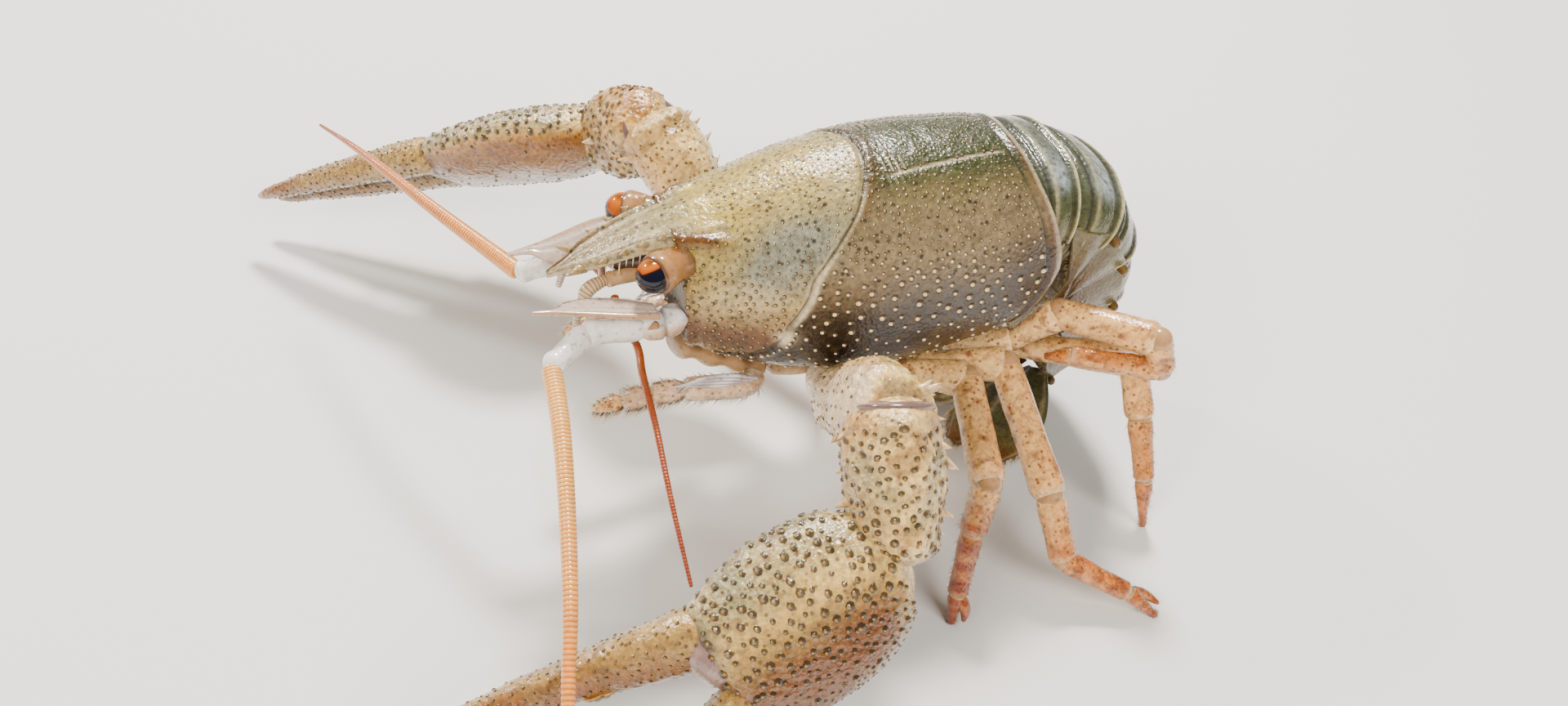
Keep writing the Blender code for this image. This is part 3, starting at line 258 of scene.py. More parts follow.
@dataclass
class Shape:
    """Points, faces and marks of one piece while it is made, in body millimetres."""

    points: list[Array] = field(default_factory=list)
    faces: list[Array] = field(default_factory=list)
    marks: dict[str, list[Array]] = field(default_factory=lambda: {name: [] for name in MARKS})
    patches: list[Array] = field(default_factory=list)
    count: int = 0

    def add(self, points: Array, faces: Sequence[Array], patches: Array | None = None,
            **marks: Array | float) -> None:
        """Add one closed body, with its faces turned outward.

        Args:
            points: one row per point.
            faces: arrays of triangles or quads that index the points.
            patches: place of each point on the skin's unwrap, for tufts and tubercles.
            marks: value of each mark per point, or one for all.
        """
        triangles = [part[:, :3] for part in faces]
        triangles += [part[:, (0, 2, 3)] for part in faces if part.shape[1] == 4]
        corners = points[np.concatenate(triangles)]
        volume = np.sum(np.cross(corners[:, 0], corners[:, 1]) * corners[:, 2])
        for part in faces:
            self.faces.append((part if volume > 0 else part[:, ::-1]) + self.count)
        self.points.append(points)
        self.count += len(points)
        for name in MARKS:
            self.marks[name].append(np.broadcast_to(np.asarray(marks.get(name, 0), float), (len(points),)))
        if patches is not None:
            self.patches.append(patches)

    def tube(self, grid: Array, **marks: Array | float) -> None:
        """Add a closed tube of rings, capped at both ends.

        Args:
            grid: points by ring and side.
            marks: value of each mark per grid point, or one for all.
        """
        rings, sides = grid.shape[:2]
        count = rings * sides
        ends = np.stack((grid[0].mean(axis=0), grid[-1].mean(axis=0)))
        points = np.concatenate((grid.reshape(-1, 3), ends))
        values = {}
        for name, mark in marks.items():
            full = np.broadcast_to(np.asarray(mark, float), (rings, sides))
            values[name] = np.concatenate((full.ravel(), (full[0].mean(), full[-1].mean())))
        self.add(points, tube_faces(rings, sides, count, count + 1), **values)

    def build(self, name: str, finish: "ShellFinish | EyeFinish", slot: Slot, *replaces: str) -> None:
        """Make the piece's mesh and set it on the frame.

        Args:
            name: name of the piece.
            finish: its finish.
            slot: the record's material slot whose finish it takes; not used.
            replaces: solids that it stands for.
        """
        mesh = bpy.data.meshes.new(name)
        points = (np.concatenate(self.points) + BODY_SHIFT) * MM
        points[:, 2] = np.maximum(points[:, 2], 0)
        mesh.vertices.add(len(points))
        mesh.vertices.foreach_set("co", points.astype(np.float32).ravel())
        corners = np.concatenate([part.ravel() for part in self.faces])
        sizes = np.concatenate([np.full(len(part), part.shape[1]) for part in self.faces])
        starts = np.concatenate(((0,), np.cumsum(sizes)[:-1]))
        mesh.loops.add(len(corners))
        mesh.loops.foreach_set("vertex_index", corners.astype(np.int32))
        mesh.polygons.add(len(starts))
        mesh.polygons.foreach_set("loop_start", starts.astype(np.int32))
        mesh.update(calc_edges=True)
        mesh.shade_smooth()
        for mark in MARKS:
            values = mesh.attributes.new(mark, "FLOAT", "POINT")
            values.data.foreach_set("value", np.concatenate(self.marks[mark]).astype(np.float32))
        if self.patches:
            layer = mesh.uv_layers.new(name="OFBake")
            places = np.concatenate(self.patches)[corners]
            layer.data.foreach_set("uv", places.astype(np.float32).ravel())
        mesh.materials.append(finish.material)
        piece = bpy.data.objects.new(name, mesh)
        bpy.context.scene.collection.objects.link(piece)
        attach(piece, "root")
        if replaces:
            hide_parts(*replaces)
        LOG.info("%s: %d faces", name, len(starts))


class Outline(Enum):
    """How a small growth narrows: rows of height share and radius share, from below its root to its tip."""

    TUBERCLE = ((-0.4, 2.2), (0.06, 1.95), (0.16, 1.25), (0.45, 1), (0.75, 0.75), (0.93, 0.4))
    GRAIN = ((-0.5, 1.3), (0.1, 1.1), (0.7, 0.7))
    SPINE = ((-0.3, 1.25), (0, 1), (0.3, 0.72), (0.6, 0.45), (0.85, 0.2))
    HAIR = ((-0.06, 1), (0.25, 0.9), (0.5, 0.7), (0.75, 0.45))


def grow(shape: Shape, roots: Array, directions: Array, heights: Array | float, radii: Array | float,
         outline: Outline, sides: int, places: Array, bend: Array | float = 0,
         **marks: Array | float) -> None:
    """Grow many like things from a skin, each a closed body with its root sunk.

    Args:
        shape: the piece they go into.
        roots: points on the skin.
        directions: which way each grows.
        heights: length of each, or of all.
        radii: radius of each at its root, or of all.
        outline: how they narrow.
        sides: sides of each.
        places: root of each on the skin's unwrap, from 0 to 1.
        bend: how far each tip is carried sideways.
        marks: value of each mark per root, or one for all. The stud mark is made here, but not on spines.
    """
    count = len(roots)
    if not count:
        return
    rows = np.array(outline.value)
    heights = np.broadcast_to(heights, count)
    radii = np.broadcast_to(radii, count)
    bend = np.broadcast_to(bend, (count, 3))
    along = unit(np.broadcast_to(directions, (count, 3)))
    helper = np.where(np.abs(along[:, 2:]) < 0.9, np.array((0, 0, 1)), np.array((1, 0, 0)))
    first = unit(np.cross(along, helper))
    second = np.cross(along, first)
    turn = full_turn(sides)
    spokes = first[:, None] * np.cos(turn)[None, :, None] + second[:, None] * np.sin(turn)[None, :, None]
    share = rows[:, 0]
    middle = roots[:, None] + along[:, None] * (heights[:, None, None] * share[None, :, None])
    middle = middle + bend[:, None] * (np.maximum(share, 0) ** 2)[None, :, None]
    rings = middle[:, :, None] + spokes[:, None] * (radii[:, None, None, None] * rows[None, :, 1, None, None])
    tips = roots + along * heights[:, None] + bend
    bases = middle[:, 0]
    size = len(rows) * sides + 2
    points = np.concatenate((rings.reshape(count, -1, 3), tips[:, None], bases[:, None]), axis=1)
    quads, root_cap, tip_cap = tube_faces(len(rows), sides, size - 1, size - 2)
    caps = np.concatenate((tip_cap, root_cap))
    offsets = (np.arange(count) * size)[:, None, None]
    faces = ((quads[None] + offsets).reshape(-1, 4), (caps[None] + offsets).reshape(-1, 3))
    heights_up = np.concatenate((np.repeat(np.clip(share, 0, 1), sides), (1, 0)))
    local = np.concatenate((
        np.tile(columns(np.cos(turn), np.sin(turn)), (len(rows), 1))
        * np.repeat(1 - np.clip(share, 0, 1), sides)[:, None], ((0, 0), (0, 0))))
    patches = np.broadcast_to(places, (count, 2))[:, None] + local[None] * PATCH / 2
    values = {name: np.repeat(np.broadcast_to(np.asarray(mark, float), (count,)), size)
              for name, mark in marks.items()}
    values["stud"] = np.tile(heights_up * (outline is not Outline.SPINE), count)
    shape.add(points.reshape(-1, 3), faces, patches.reshape(-1, 2), **values)


@dataclass(frozen=True)
class Limb:
    """A length of shell along a smooth path, with an elliptical section.

    The profile holds rows of fraction of the length, half width and half height. Angles about the path run
    from its width axis to its height axis, which is the up direction made square to the path.
    """

    path: Path
    profile: Rows
    up: Point
    start_dome: float = 1
    end_dome: float = 1

    @cached_property
    def course(self) -> Array:
        """Dense points of the path, each behind its fraction of the length."""
        points = np.asarray(self.path, float)
        knots = np.concatenate(((0,), np.cumsum(np.linalg.norm(np.diff(points, axis=0), axis=1))))
        dense = hermite(np.column_stack((knots, points)), np.linspace(0, knots[-1], 400))
        run = np.concatenate(((0,), np.cumsum(np.linalg.norm(np.diff(dense, axis=0), axis=1))))
        return np.column_stack((run, dense))

    @property
    def length(self) -> float:
        """Length of the path."""
        return float(self.course[-1, 0])

    def centre(self, fraction: Array) -> Array:
        """Points of the path at fractions of its length, carried straight on past its ends.

        Args:
            fraction: fractions of the length.

        Returns:
            One point for each fraction.
        """
        run = np.asarray(fraction, float) * self.length
        inside = np.clip(run, 0, self.length)
        points = columns(*(np.interp(inside, self.course[:, 0], self.course[:, k]) for k in (1, 2, 3)))
        first = unit(self.course[8, 1:] - self.course[0, 1:])
        last = unit(self.course[-1, 1:] - self.course[-9, 1:])
        over = np.maximum(run - self.length, 0)[..., None] * last
        under = np.minimum(run, 0)[..., None] * first
        return points + over + under

    def axes(self, fraction: Array) -> tuple[Array, Array, Array]:
        """Directions along the path, across it and up from it, at fractions of its length.

        Args:
            fraction: fractions of the length.

        Returns:
            Three unit vectors for each fraction.
        """
        along = unit(self.centre(np.asarray(fraction) + 0.01) - self.centre(np.asarray(fraction) - 0.01))
        up = np.asarray(self.up, float)
        height = unit(up - along * (along @ up)[..., None])
        return along, np.cross(along, height), height

    def size(self, fraction: Array) -> Array:
        """Half width and half height at fractions of the length, closed in a dome at each end.

        Args:
            fraction: fractions of the length.

        Returns:
            Half width and half height in a last axis.
        """
        half = hermite(self.profile, fraction)
        run = np.asarray(fraction, float) * self.length
        start = np.clip(run / max(self.start_dome, 1e-6), 0, 1)
        end = np.clip((self.length - run) / max(self.end_dome, 1e-6), 0, 1)
        close = np.sqrt(np.maximum(1 - (1 - start) ** 2, 0)) * np.sqrt(np.maximum(1 - (1 - end) ** 2, 0))
        return half * np.maximum(close, 0.02)[..., None]

    def surface(self, fraction: Array, angle: Array, lift: Array | float = 0) -> Array:
        """Points of the skin.

        Args:
            fraction: fractions of the length.
            angle: angles about the path, of the same shape.
            lift: height over the plain section.

        Returns:
            One point for each pair.
        """
        width, height = self.axes(fraction)[1:]
        half = self.size(fraction)
        base = width * (half[..., :1] * np.cos(angle)[..., None])
        base = base + height * (half[..., 1:] * np.sin(angle)[..., None])
        return self.centre(fraction) + base + self.outward(fraction, angle) * np.asarray(lift)[..., None]

    def outward(self, fraction: Array, angle: Array) -> Array:
        """Direction away from the skin at fractions of the length and angles about it.

        Args:
            fraction: fractions of the length.
            angle: angles about it, of the same shape.

        Returns:
            One unit vector for each pair.
        """
        width, height = self.axes(fraction)[1:]
        half = hermite(self.profile, fraction)
        spoke = width * (np.cos(angle)[..., None] / half[..., :1])
        return unit(spoke + height * (np.sin(angle)[..., None] / half[..., 1:]))

    def swell(self, fraction: Array, angle: Array, size: float, seed: int) -> Array:
        """Smooth random values over the skin, from -1 to 1."""
        return unevenness(self.surface(fraction, angle), size, seed)

    def fractions(self, spacing: float) -> Array:
        """Fractions for rings a spacing apart, closer together in the end domes.

        Args:
            spacing: distance between rings.

        Returns:
            Fractions in rising order.
        """
        start = min(self.start_dome / self.length, 0.45)
        end = min(self.end_dome / self.length, 0.45)
        turn = np.linspace(0.12, math.pi / 2, 7)
        middle = max(int((1 - start - end) * self.length / spacing), 2)
        return np.concatenate((start * (1 - np.cos(turn)),
                               np.linspace(start, 1 - end, middle + 1)[1:-1],
                               1 - end * (1 - np.cos(turn[::-1]))))

    def fill(self, shape: Shape, spacing: float, sides: int, relief: Relief | None = None,
             marks: Painter | None = None, rings: Array | None = None, floor: bool = False) -> None:
        """Add the limb's skin to a piece.

        Args:
            shape: the piece.
            spacing: distance between rings.
            sides: points around each ring.
            relief: height over the plain section at fractions and angles.
            marks: marks at fractions and angles.
            rings: fractions of the rings, where they aren't evenly spaced.
            floor: whether the skin is flattened where it would pass the floor.
        """
        along = self.fractions(spacing) if rings is None else rings
        turn = full_turn(sides)
        fraction, angle = np.meshgrid(along, turn, indexing="ij")
        lift = relief(fraction, angle) if relief else np.zeros_like(fraction)
        close = self.size(fraction)[..., 0] / hermite(self.profile, fraction)[..., 0]
        grid = self.surface(fraction, angle, lift * close)
        if floor:
            grid[..., 2] = np.maximum(grid[..., 2], FLOOR)
        shape.tube(grid, **(marks(fraction, angle) if marks else {}))


def add_node(tree: Tree, kind: str, inputs: dict[str | int, object] | None = None,
             **settings: object) -> bpy.types.Node:
    """Add a shader node with its settings and links.

    Args:
        tree: the material's node tree.
        kind: Blender's name of the node type.
        inputs: a value or another node's output for each input, by name or index.
        settings: properties of the node.

    Returns:
        The new node.
    """
    node = tree.nodes.new(kind)
    for name, value in settings.items():
        setattr(node, name, value)
    for key, value in (inputs or {}).items():
        if isinstance(value, Socket):
            tree.links.new(value, node.inputs[key])
        else:
            node.inputs[key].default_value = value
    return node


@dataclass(frozen=True)
class ShellFinish:
    """Finish of calcified chitin, moulded by the animal: coloured in clouds, under a clear skin of water.

    The tones run over the zone mark. Sizes are in millimetres. The line mark draws pale lines above 0 and
    dark ones below, and the stud mark rings each tubercle and lights its tip.
    """

    name: str
    tones: Tones
    wander: float = 0.12
    wander_size: float = 5
    warm: str = "#8a4a1e"
    cool: str = "#6c6f62"
    mottle: str = "#4a3a22"
    mottle_size: float = 2.2
    mottle_share: float = 0.3
    freckle: str = "#2c2418"
    freckle_size: float = 1
    freckle_share: float = 0.6
    speckle: float = 0.25
    speckle_size: float = 0.7
    pale_line: str = "#cdbfa2"
    dark_line: str = "#241c12"
    ring: str = "#3a2a16"
    ring_share: float = 0.8
    tip: str = "#d9c08c"
    tip_reach: Span = (0.3, 0.6)
    roughness: Span = (0.2, 0.5)
    coat: float = 0.5
    grain_size: float = 0.5
    grain_depth: float = 0.05
    depth_glow: float = 0

    @cached_property
    def material(self) -> Material:
        """The material, which reads a piece's marks and its place in space."""
        material = bpy.data.materials.new(self.name)
        material.use_nodes = True
        tree = material.node_tree
        shader = tree.nodes["Principled BSDF"]
        place = add_node(tree, "ShaderNodeTexCoord").outputs["Object"]
        marks = {name: add_node(tree, "ShaderNodeAttribute", attribute_name=name).outputs["Fac"]
                 for name in MARKS}
        clouds, blotch, speck = (
            add_node(tree, "ShaderNodeTexNoise", {"Vector": place, "Scale": 1000 / size, "Detail": detail,
                                                  "Roughness": 0.6}).outputs[0]
            for size, detail in ((self.wander_size, 3), (self.mottle_size, 5), (self.speckle_size, 3)))
        shifted = add_node(tree, "ShaderNodeMath", {0: clouds, 1: 2 * self.wander, 2: marks["zone"]},
                           operation="MULTIPLY_ADD").outputs[0]
        tone = add_node(tree, "ShaderNodeMath", {0: shifted, 1: self.wander}, operation="SUBTRACT").outputs[0]
        colour = tone_ramp(tree, self.tones, tone)
        for name in ("cool", "warm"):
            colour = self.over(tree, colour, marks[name], getattr(self, name))
        blotches = self.between(tree, blotch, 0.5, 0.66, 0, self.mottle_share)
        colour = self.over(tree, colour, blotches, self.mottle)
        cells = add_node(tree, "ShaderNodeTexVoronoi", {"Vector": place, "Scale": 1000 / self.freckle_size})
        dots = self.between(tree, cells.outputs["Distance"], 0.36, 0.2, 0, self.freckle_share)
        some = self.between(tree, cells.outputs["Color"], 0.4, 0.5, 0, 1)
        freckles = add_node(tree, "ShaderNodeMath", {0: dots, 1: some}, operation="MULTIPLY").outputs[0]
        colour = self.over(tree, colour, freckles, self.freckle)
        for name, low, high, most, hue in (
                ("line", 0, 1, 1, self.pale_line), ("line", 0, -1, 1, self.dark_line),
                ("stud", 0, 0.04, self.ring_share, self.ring), ("stud", *self.tip_reach, 0.95, self.tip)):
            colour = self.over(tree, colour, self.between(tree, marks[name], low, high, 0, most), hue)
        light = self.between(tree, speck, 0.32, 0.68, 1 - self.speckle, 1 + self.speckle)
        colour = add_node(tree, "ShaderNodeHueSaturation", {"Value": light, "Color": colour}).outputs[0]
        tree.links.new(colour, shader.inputs["Base Color"])
        wet = self.between(tree, blotch, 0.35, 0.65, *self.roughness)
        tree.links.new(wet, shader.inputs["Roughness"])
        grain = add_node(tree, "ShaderNodeTexVoronoi", {"Vector": place, "Scale": 1000 / self.grain_size})
        swell = add_node(tree, "ShaderNodeMath", {0: clouds, 1: 3, 2: grain.outputs["Distance"]},
                         operation="MULTIPLY_ADD").outputs[0]
        rough = add_node(
            tree, "ShaderNodeMath", {0: speck, 1: 2, 2: swell}, operation="MULTIPLY_ADD").outputs[0]
        bump = add_node(tree, "ShaderNodeBump", {"Strength": 1, "Distance": self.grain_depth * MM,
                                                 "Height": rough})
        tree.links.new(bump.outputs[0], shader.inputs["Normal"])
        tree.links.new(bump.outputs[0], shader.inputs["Coat Normal"])
        shader.inputs["Coat Weight"].default_value = self.coat
        shader.inputs["Coat Roughness"].default_value = 0.1
        shader.inputs["Subsurface Weight"].default_value = self.depth_glow
        shader.inputs["Subsurface Scale"].default_value = 0.001
        return material

    def over(self, tree: Tree, under: Socket, share: Socket,
             colour: str) -> Socket:
        """Lay a colour over another by a share, and return the result's output."""
        return add_node(tree, "ShaderNodeMix", {0: share, 6: under, 7: linear(colour)},
                        data_type="RGBA").outputs[2]

    def between(self, tree: Tree, value: Socket, low: float, high: float,
                start: float, end: float) -> Socket:
        """Carry a value from one range to another, and return the result's output."""
        return add_node(tree, "ShaderNodeMapRange", {0: value, 1: low, 2: high, 3: start, 4: end}).outputs[0]


def tone_ramp(tree: Tree, tones: Tones, value: Socket) -> Socket:
    """Add a colour ramp over a value, and return its colour output.

    Args:
        tree: the material's nodes.
        tones: places and colours.
        value: the output it reads.

    Returns:
        The ramp's colour output.
    """
    ramp = add_node(tree, "ShaderNodeValToRGB", {0: value})
    for index, (at, colour) in enumerate(tones):
        stop = ramp.color_ramp.elements[index] if index < 2 else ramp.color_ramp.elements.new(at)
        stop.position = at
        stop.color = linear(colour)
    return ramp.outputs[0]


# Olive shell of the carapace: brown flanks, dark olive back, gold-olive head, wet and freckled; its darkest
# tones are the brown flank deepened by painted shade low down
CARAPACE_FINISH = ShellFinish(
    "chitin_olive_wet",
    ((0, "#170f0a"), (0.15, "#2d221a"), (0.3, "#5a4934"), (0.43, "#77674b"), (0.54, "#5d5231"),
     (0.62, "#2b300d"), (0.68, "#282e0b"), (0.77, "#a38c5c"), (0.88, "#968341"), (1, "#a98e38")),
    wander=0.05, warm="#552808", cool="#6f746a", mottle="#4a3a1c", mottle_size=1.3, mottle_share=0.45,
    freckle="#252114", freckle_size=0.95, freckle_share=0.85, speckle=0.35, pale_line="#c3b291",
    ring="#211a0a", tip="#b48f52", roughness=(0.28, 0.44), grain_depth=0.065)
# The same shell with cream tubercles low on the flanks
FLANK_STUD_FINISH = ShellFinish(
    "chitin_cream_tubercle",
    ((0, "#2a1c10"), (0.4, "#6d5836"), (1, "#92804a")),
    mottle_share=0.2, freckle_share=0.2, ring="#2c1f11", ring_share=0.5, tip="#d8bf94", coat=0.6,
    roughness=(0.2, 0.4), grain_depth=0.01)
# Thinner shell of the abdomen: dark olive bands with pale rear edges, and tan side lobes; the cool colour is
# a painted pale blue-grey reflection high on the rings' sides
ABDOMEN_FINISH = ShellFinish(
    "chitin_abdomen_wet",
    ((0, "#301a07"), (0.22, "#462e11"), (0.42, "#58502d"), (0.7, "#43452a"), (1, "#34391f")),
    mottle="#2b2c15", mottle_size=1.5, mottle_share=0.45, warm="#8a4c14", cool="#a2acb0",
    freckle="#2b2a17", freckle_size=1.1, speckle=0.3, pale_line="#b3a67e", roughness=(0.18, 0.4),
    tip="#c2ab78")
# Thick cream-brown shell of the great claws: dark tubercles with gold tips
CLAW_FINISH = ShellFinish(
    "chitin_claw_cream",
    ((0, "#7d4c08"), (0.22, "#c69142"), (0.42, "#dcba74"), (0.5, "#bf9c53"), (0.6, "#a08143"),
     (0.74, "#824d1a"), (1, "#4e220c")),
    warm="#552d0c", mottle="#6a4016", mottle_size=1.6, mottle_share=0.6, cool="#6f7054",
    freckle="#462810", freckle_size=0.9, freckle_share=0.75, speckle=0.3, pale_line="#dfcbae",
    dark_line="#2e1a22", ring="#2b200c", ring_share=0.9, tip="#94692c", tip_reach=(0.6, 0.95), coat=0.9,
    roughness=(0.14, 0.36), grain_size=0.7, grain_depth=0.13)
# Thin shell of the walking legs: cream and orange-tan with red-brown blotches
LEG_FINISH = ShellFinish(
    "chitin_leg_tan",
    ((0, "#e8c48b"), (0.3, "#dcaa66"), (0.6, "#b76a20"), (1, "#7c3710")),
    mottle="#6e2e0a", mottle_size=1.9, mottle_share=0.8, warm="#8a3408", cool="#a78d80",
    freckle="#6a3410", freckle_size=0.8, freckle_share=0.8, pale_line="#dcc6a2", dark_line="#471614",
    ring="#7c4820", ring_share=0.5, tip="#d3a970", coat=0.7, roughness=(0.2, 0.4), depth_glow=0.08)
# Ringed shell of the long feelers: orange-tan with darker joints
FEELER_FINISH = ShellFinish(
    "chitin_feeler_orange",
    ((0, "#e2a046"), (0.35, "#d07b16"), (0.75, "#a04808"), (1, "#702a12")),
    wander=0.06, mottle="#9c5320", mottle_size=3, freckle_share=0, warm="#66190f", speckle=0.12,
    dark_line="#7b3c14", pale_line="#ecd0a0", coat=0.7, roughness=(0.2, 0.35), grain_depth=0.01,
    depth_glow=0.1)
# Soft shell of the feelers' stems, scales and joints: porcelain white and pinkish, with brown dots
JOINT_FINISH = ShellFinish(
    "chitin_pale_joint",
    ((0, "#9c6a34"), (0.4, "#b9966c"), (0.75, "#c4b19c"), (1, "#dfe1e6")),
    wander=0.08, mottle="#8f6a44", mottle_size=1.8, mottle_share=0.25, warm="#7d4a18", cool="#85727c",
    freckle="#5a3a20", freckle_size=0.8, freckle_share=0.4, speckle=0.1, dark_line="#3c2a20",
    pale_line="#e6e2dc", coat=0.8, roughness=(0.12, 0.3), grain_depth=0.01, depth_glow=0.1,
    ring="#6f4a28", tip="#dcc6a0")
# Stiff hairs: straw-brown chitin bristles
HAIR_FINISH = ShellFinish(
    "chitin_bristle_straw",
    ((0, "#8a6436"), (1, "#c4a470")),
    mottle_share=0, freckle_share=0, speckle=0, coat=0, roughness=(0.4, 0.5), grain_depth=0)


@dataclass(frozen=True)
class EyeFinish:
    """Finish of the faceted cornea: glossy blue-black with an orange crescent above."""

    name: str = "cornea_blue_black"
    tones: Tones = ((0, "#03040c"), (0.6, "#05061a"), (0.65, "#1c0a04"), (0.7, "#9c4203"),
                    (0.82, "#a95a06"), (0.93, "#4c2206"))
    facet_size: float = 0.12

    @cached_property
    def material(self) -> Material:
        """The material, whose facets are drawn three times coarser than the real ones."""
        material = bpy.data.materials.new(self.name)
        material.use_nodes = True
        tree = material.node_tree
        shader = tree.nodes["Principled BSDF"]
        place = add_node(tree, "ShaderNodeTexCoord").outputs["Object"]
        zone = add_node(tree, "ShaderNodeAttribute", attribute_name="zone").outputs["Fac"]
        tree.links.new(tone_ramp(tree, self.tones, zone), shader.inputs["Base Color"])
        cells = add_node(tree, "ShaderNodeTexVoronoi", {"Vector": place, "Scale": 1000 / self.facet_size})
        bump = add_node(tree, "ShaderNodeBump", {"Distance": 0.004 * MM, "Height": cells.outputs["Distance"]})
        tree.links.new(bump.outputs[0], shader.inputs["Normal"])
        shader.inputs["Roughness"].default_value = 0.12
        shader.inputs["Specular IOR Level"].default_value = 0.2
        shader.inputs["Coat Weight"].default_value = 0.6
        shader.inputs["Coat Roughness"].default_value = 0.03
        return material


CORNEA_FINISH = EyeFinish()


def distance_to(points: Array, path: Array) -> tuple[Array, Array]:
    """Distance of points from a path, and how far along it the nearest place is.

    Args:
        points: points of any leading shape.
        path: corners of the path.

    Returns:
        The distances, and the nearest places as a share of the corners.
    """
    best = np.full(points.shape[:-1], 1e9)
    share = np.zeros(points.shape[:-1])
    for index, (start, end) in enumerate(zip(path, path[1:])):
        along = end - start
        t = np.clip((points - start) @ along / (along @ along), 0, 1)
        distance = np.linalg.norm(points - start - t[..., None] * along, axis=-1)
        closer = distance < best
        best = np.where(closer, distance, best)
        share = np.where(closer, (index + t) / (len(path) - 1), share)
    return best, share


@dataclass
class Carapace:
    """The carapace with its groove, ridges, rim and tubercles, and the rostrum ahead of it."""

    random: np.random.Generator
    # x, half width, top and bottom of the cross-section
    stations: Rows = (
        (-48, 8.3, 7.4, -7.8), (-43, 10.3, 9, -10.2), (-37, 12.2, 11, -12.7), (-30, 13.9, 12.8, -14.6),
        (-22, 15.2, 13.8, -15.2), (-15, 15.7, 13.7, -15), (-5, 15.3, 12.8, -13.5), (0, 14.6, 11.6, -11.4),
        (4, 13.5, 8.7, -7))
    waist: float = 0.42
    squareness: float = 0.62
    rear_side_x: float = 2.8
    rear_low_x: float = -4
    front_x: float = -47
    front_low_x: float = -45.8
    # sine of the angle, from -1 below to 1 over the back, and x of the cervical groove there
    groove: Rows = ((-1, -45), (-0.56, -42.8), (-0.38, -39.2), (-0.18, -36.8), (0.09, -34.2), (0.29, -32.5),
                    (0.44, -31.6), (0.66, -28.2), (0.8, -25.6), (0.95, -23.3), (1, -22.4))
    # high share and zone of the colours behind the groove, then ahead of it; the near-black lowest zones
    # behind it are brown flank colour with painted shade
    back_zones: Rows = ((0, 0), (0.3, 0.02), (0.42, 0.09), (0.57, 0.27), (0.71, 0.42), (0.86, 0.5),
                        (0.92, 0.56), (0.965, 0.64), (1, 0.66))
    head_zones: Rows = ((0, 0.76), (0.45, 0.78), (0.7, 0.83), (0.85, 0.87), (0.93, 0.94), (1, 0.98))
    ridge: Rows = ((-35.5, 133), (-37, 132), (-41, 128), (-44.5, 121), (-47.2, 115))
    # x, half width, top and thickness of the rostrum
    rostrum: Rows = ((-62, 0.3, 2.1, 0.6), (-59.5, 1.1, 3.2, 1.1), (-57, 2.6, 4.3, 1.5),
                     (-51, 3.8, 6.7, 1.8), (-47, 4.6, 8, 2), (-44, 5.2, 8.9, 2.3), (-38, 6, 10.4, 2.6))
    # x and how far the rostrum's edges lie below its middle
    arch: Rows = ((-62, 0), (-57, 0.15), (-51, 0.8), (-47, 1.6), (-44, 1.9), (-38, 2))
    # x, half width, height and length of the rostrum's teeth
    teeth: Rows = ((-58.4, 1.9, 3.4, 2.4), (-55.6, 2.9, 4.9, 0.9), (-53.2, 3.3, 5.9, 0.9),
                   (-50.9, 3.7, 6.9, 0.8), (-48.6, 4.1, 7.8, 0.8))
    rings: int = 270
    sides: int = 300

    def section(self, x: Array, angle: Array, scale: Array | float = 1) -> Array:
        """Points of the plain carapace at x, at angles counted from the animal's right over the back.

        Args:
            x: places along the body.
            angle: angles over the back, from the animal's right.
            scale: size as a share of the plain one.

        Returns:
            One point for each pair.
        """
        half_width, top, bottom = np.moveaxis(hermite(self.stations, x), -1, 0)
        middle = bottom + self.waist * (top - bottom)
        cosine = np.cos(angle)
        sine = np.sin(angle)
        low_y = np.copysign(np.abs(cosine) ** self.squareness, cosine)
        y = half_width * np.where(sine >= 0, cosine, low_y)
        up = (top - middle) * np.maximum(sine, 0)
        down = (middle - bottom) * np.maximum(-sine, 0) ** self.squareness
        return columns(x, y * scale, middle + (up - down) * scale)

    def groove_x(self, angle: Array) -> Array:
        """Where the cervical groove crosses an angle."""
        return hermite(self.groove, np.sin(angle))[..., 0]

    def rear_x(self, angle: Array) -> Array:
        """Rear edge of the carapace, notched over the back.

        Args:
            angle: angles over the back.

        Returns:
            X for each angle.
        """
        sine = np.sin(angle)
        low = self.rear_side_x + (self.rear_low_x - self.rear_side_x) * np.abs(sine)
        return np.where(sine >= 0, self.rear_side_x * (1 - sine ** 2), low)

    def front_edge(self, angle: Array) -> Array:
        """Front edge of the carapace under the rostrum."""
        low = (np.abs(np.sin(angle)) - 0.3) / 0.7
        return self.front_x + (self.front_low_x - self.front_x) * np.where(np.sin(angle) < -0.3, low, 0)

    def angles(self) -> Array:
        """Angles an even distance apart over the back and sides, and sparser below."""
        dense = np.linspace(0, 2 * math.pi, 6001)
        points = self.section(np.full_like(dense, -15), dense)
        run = np.linalg.norm(np.diff(points, axis=0), axis=1)
        run = run * np.where(points[1:, 2] < -13.5, 0.3, 1)
        total = np.concatenate(((0,), np.cumsum(run)))
        return np.interp(np.linspace(0, total[-1], self.sides + 1)[:-1], total, dense)

    def ridge_path(self, side: Side) -> Array:
        """Corners of the ridge behind an eye.

        Args:
            side: side of the animal.

        Returns:
            One point for each corner.
        """
        rows = np.array(self.ridge)
        turn = np.radians(rows[:, 1] if side is Side.LEFT else 180 - rows[:, 1])
        return self.section(rows[:, 0], turn)

    def height_share(self, points: Array) -> Array:
        """How high points lie on the cross-section, from 0 at the bottom to 1 at the top."""
        sizes = hermite(self.stations, points[..., 0])
        return (points[..., 2] - sizes[..., 2]) / (sizes[..., 1] - sizes[..., 2])

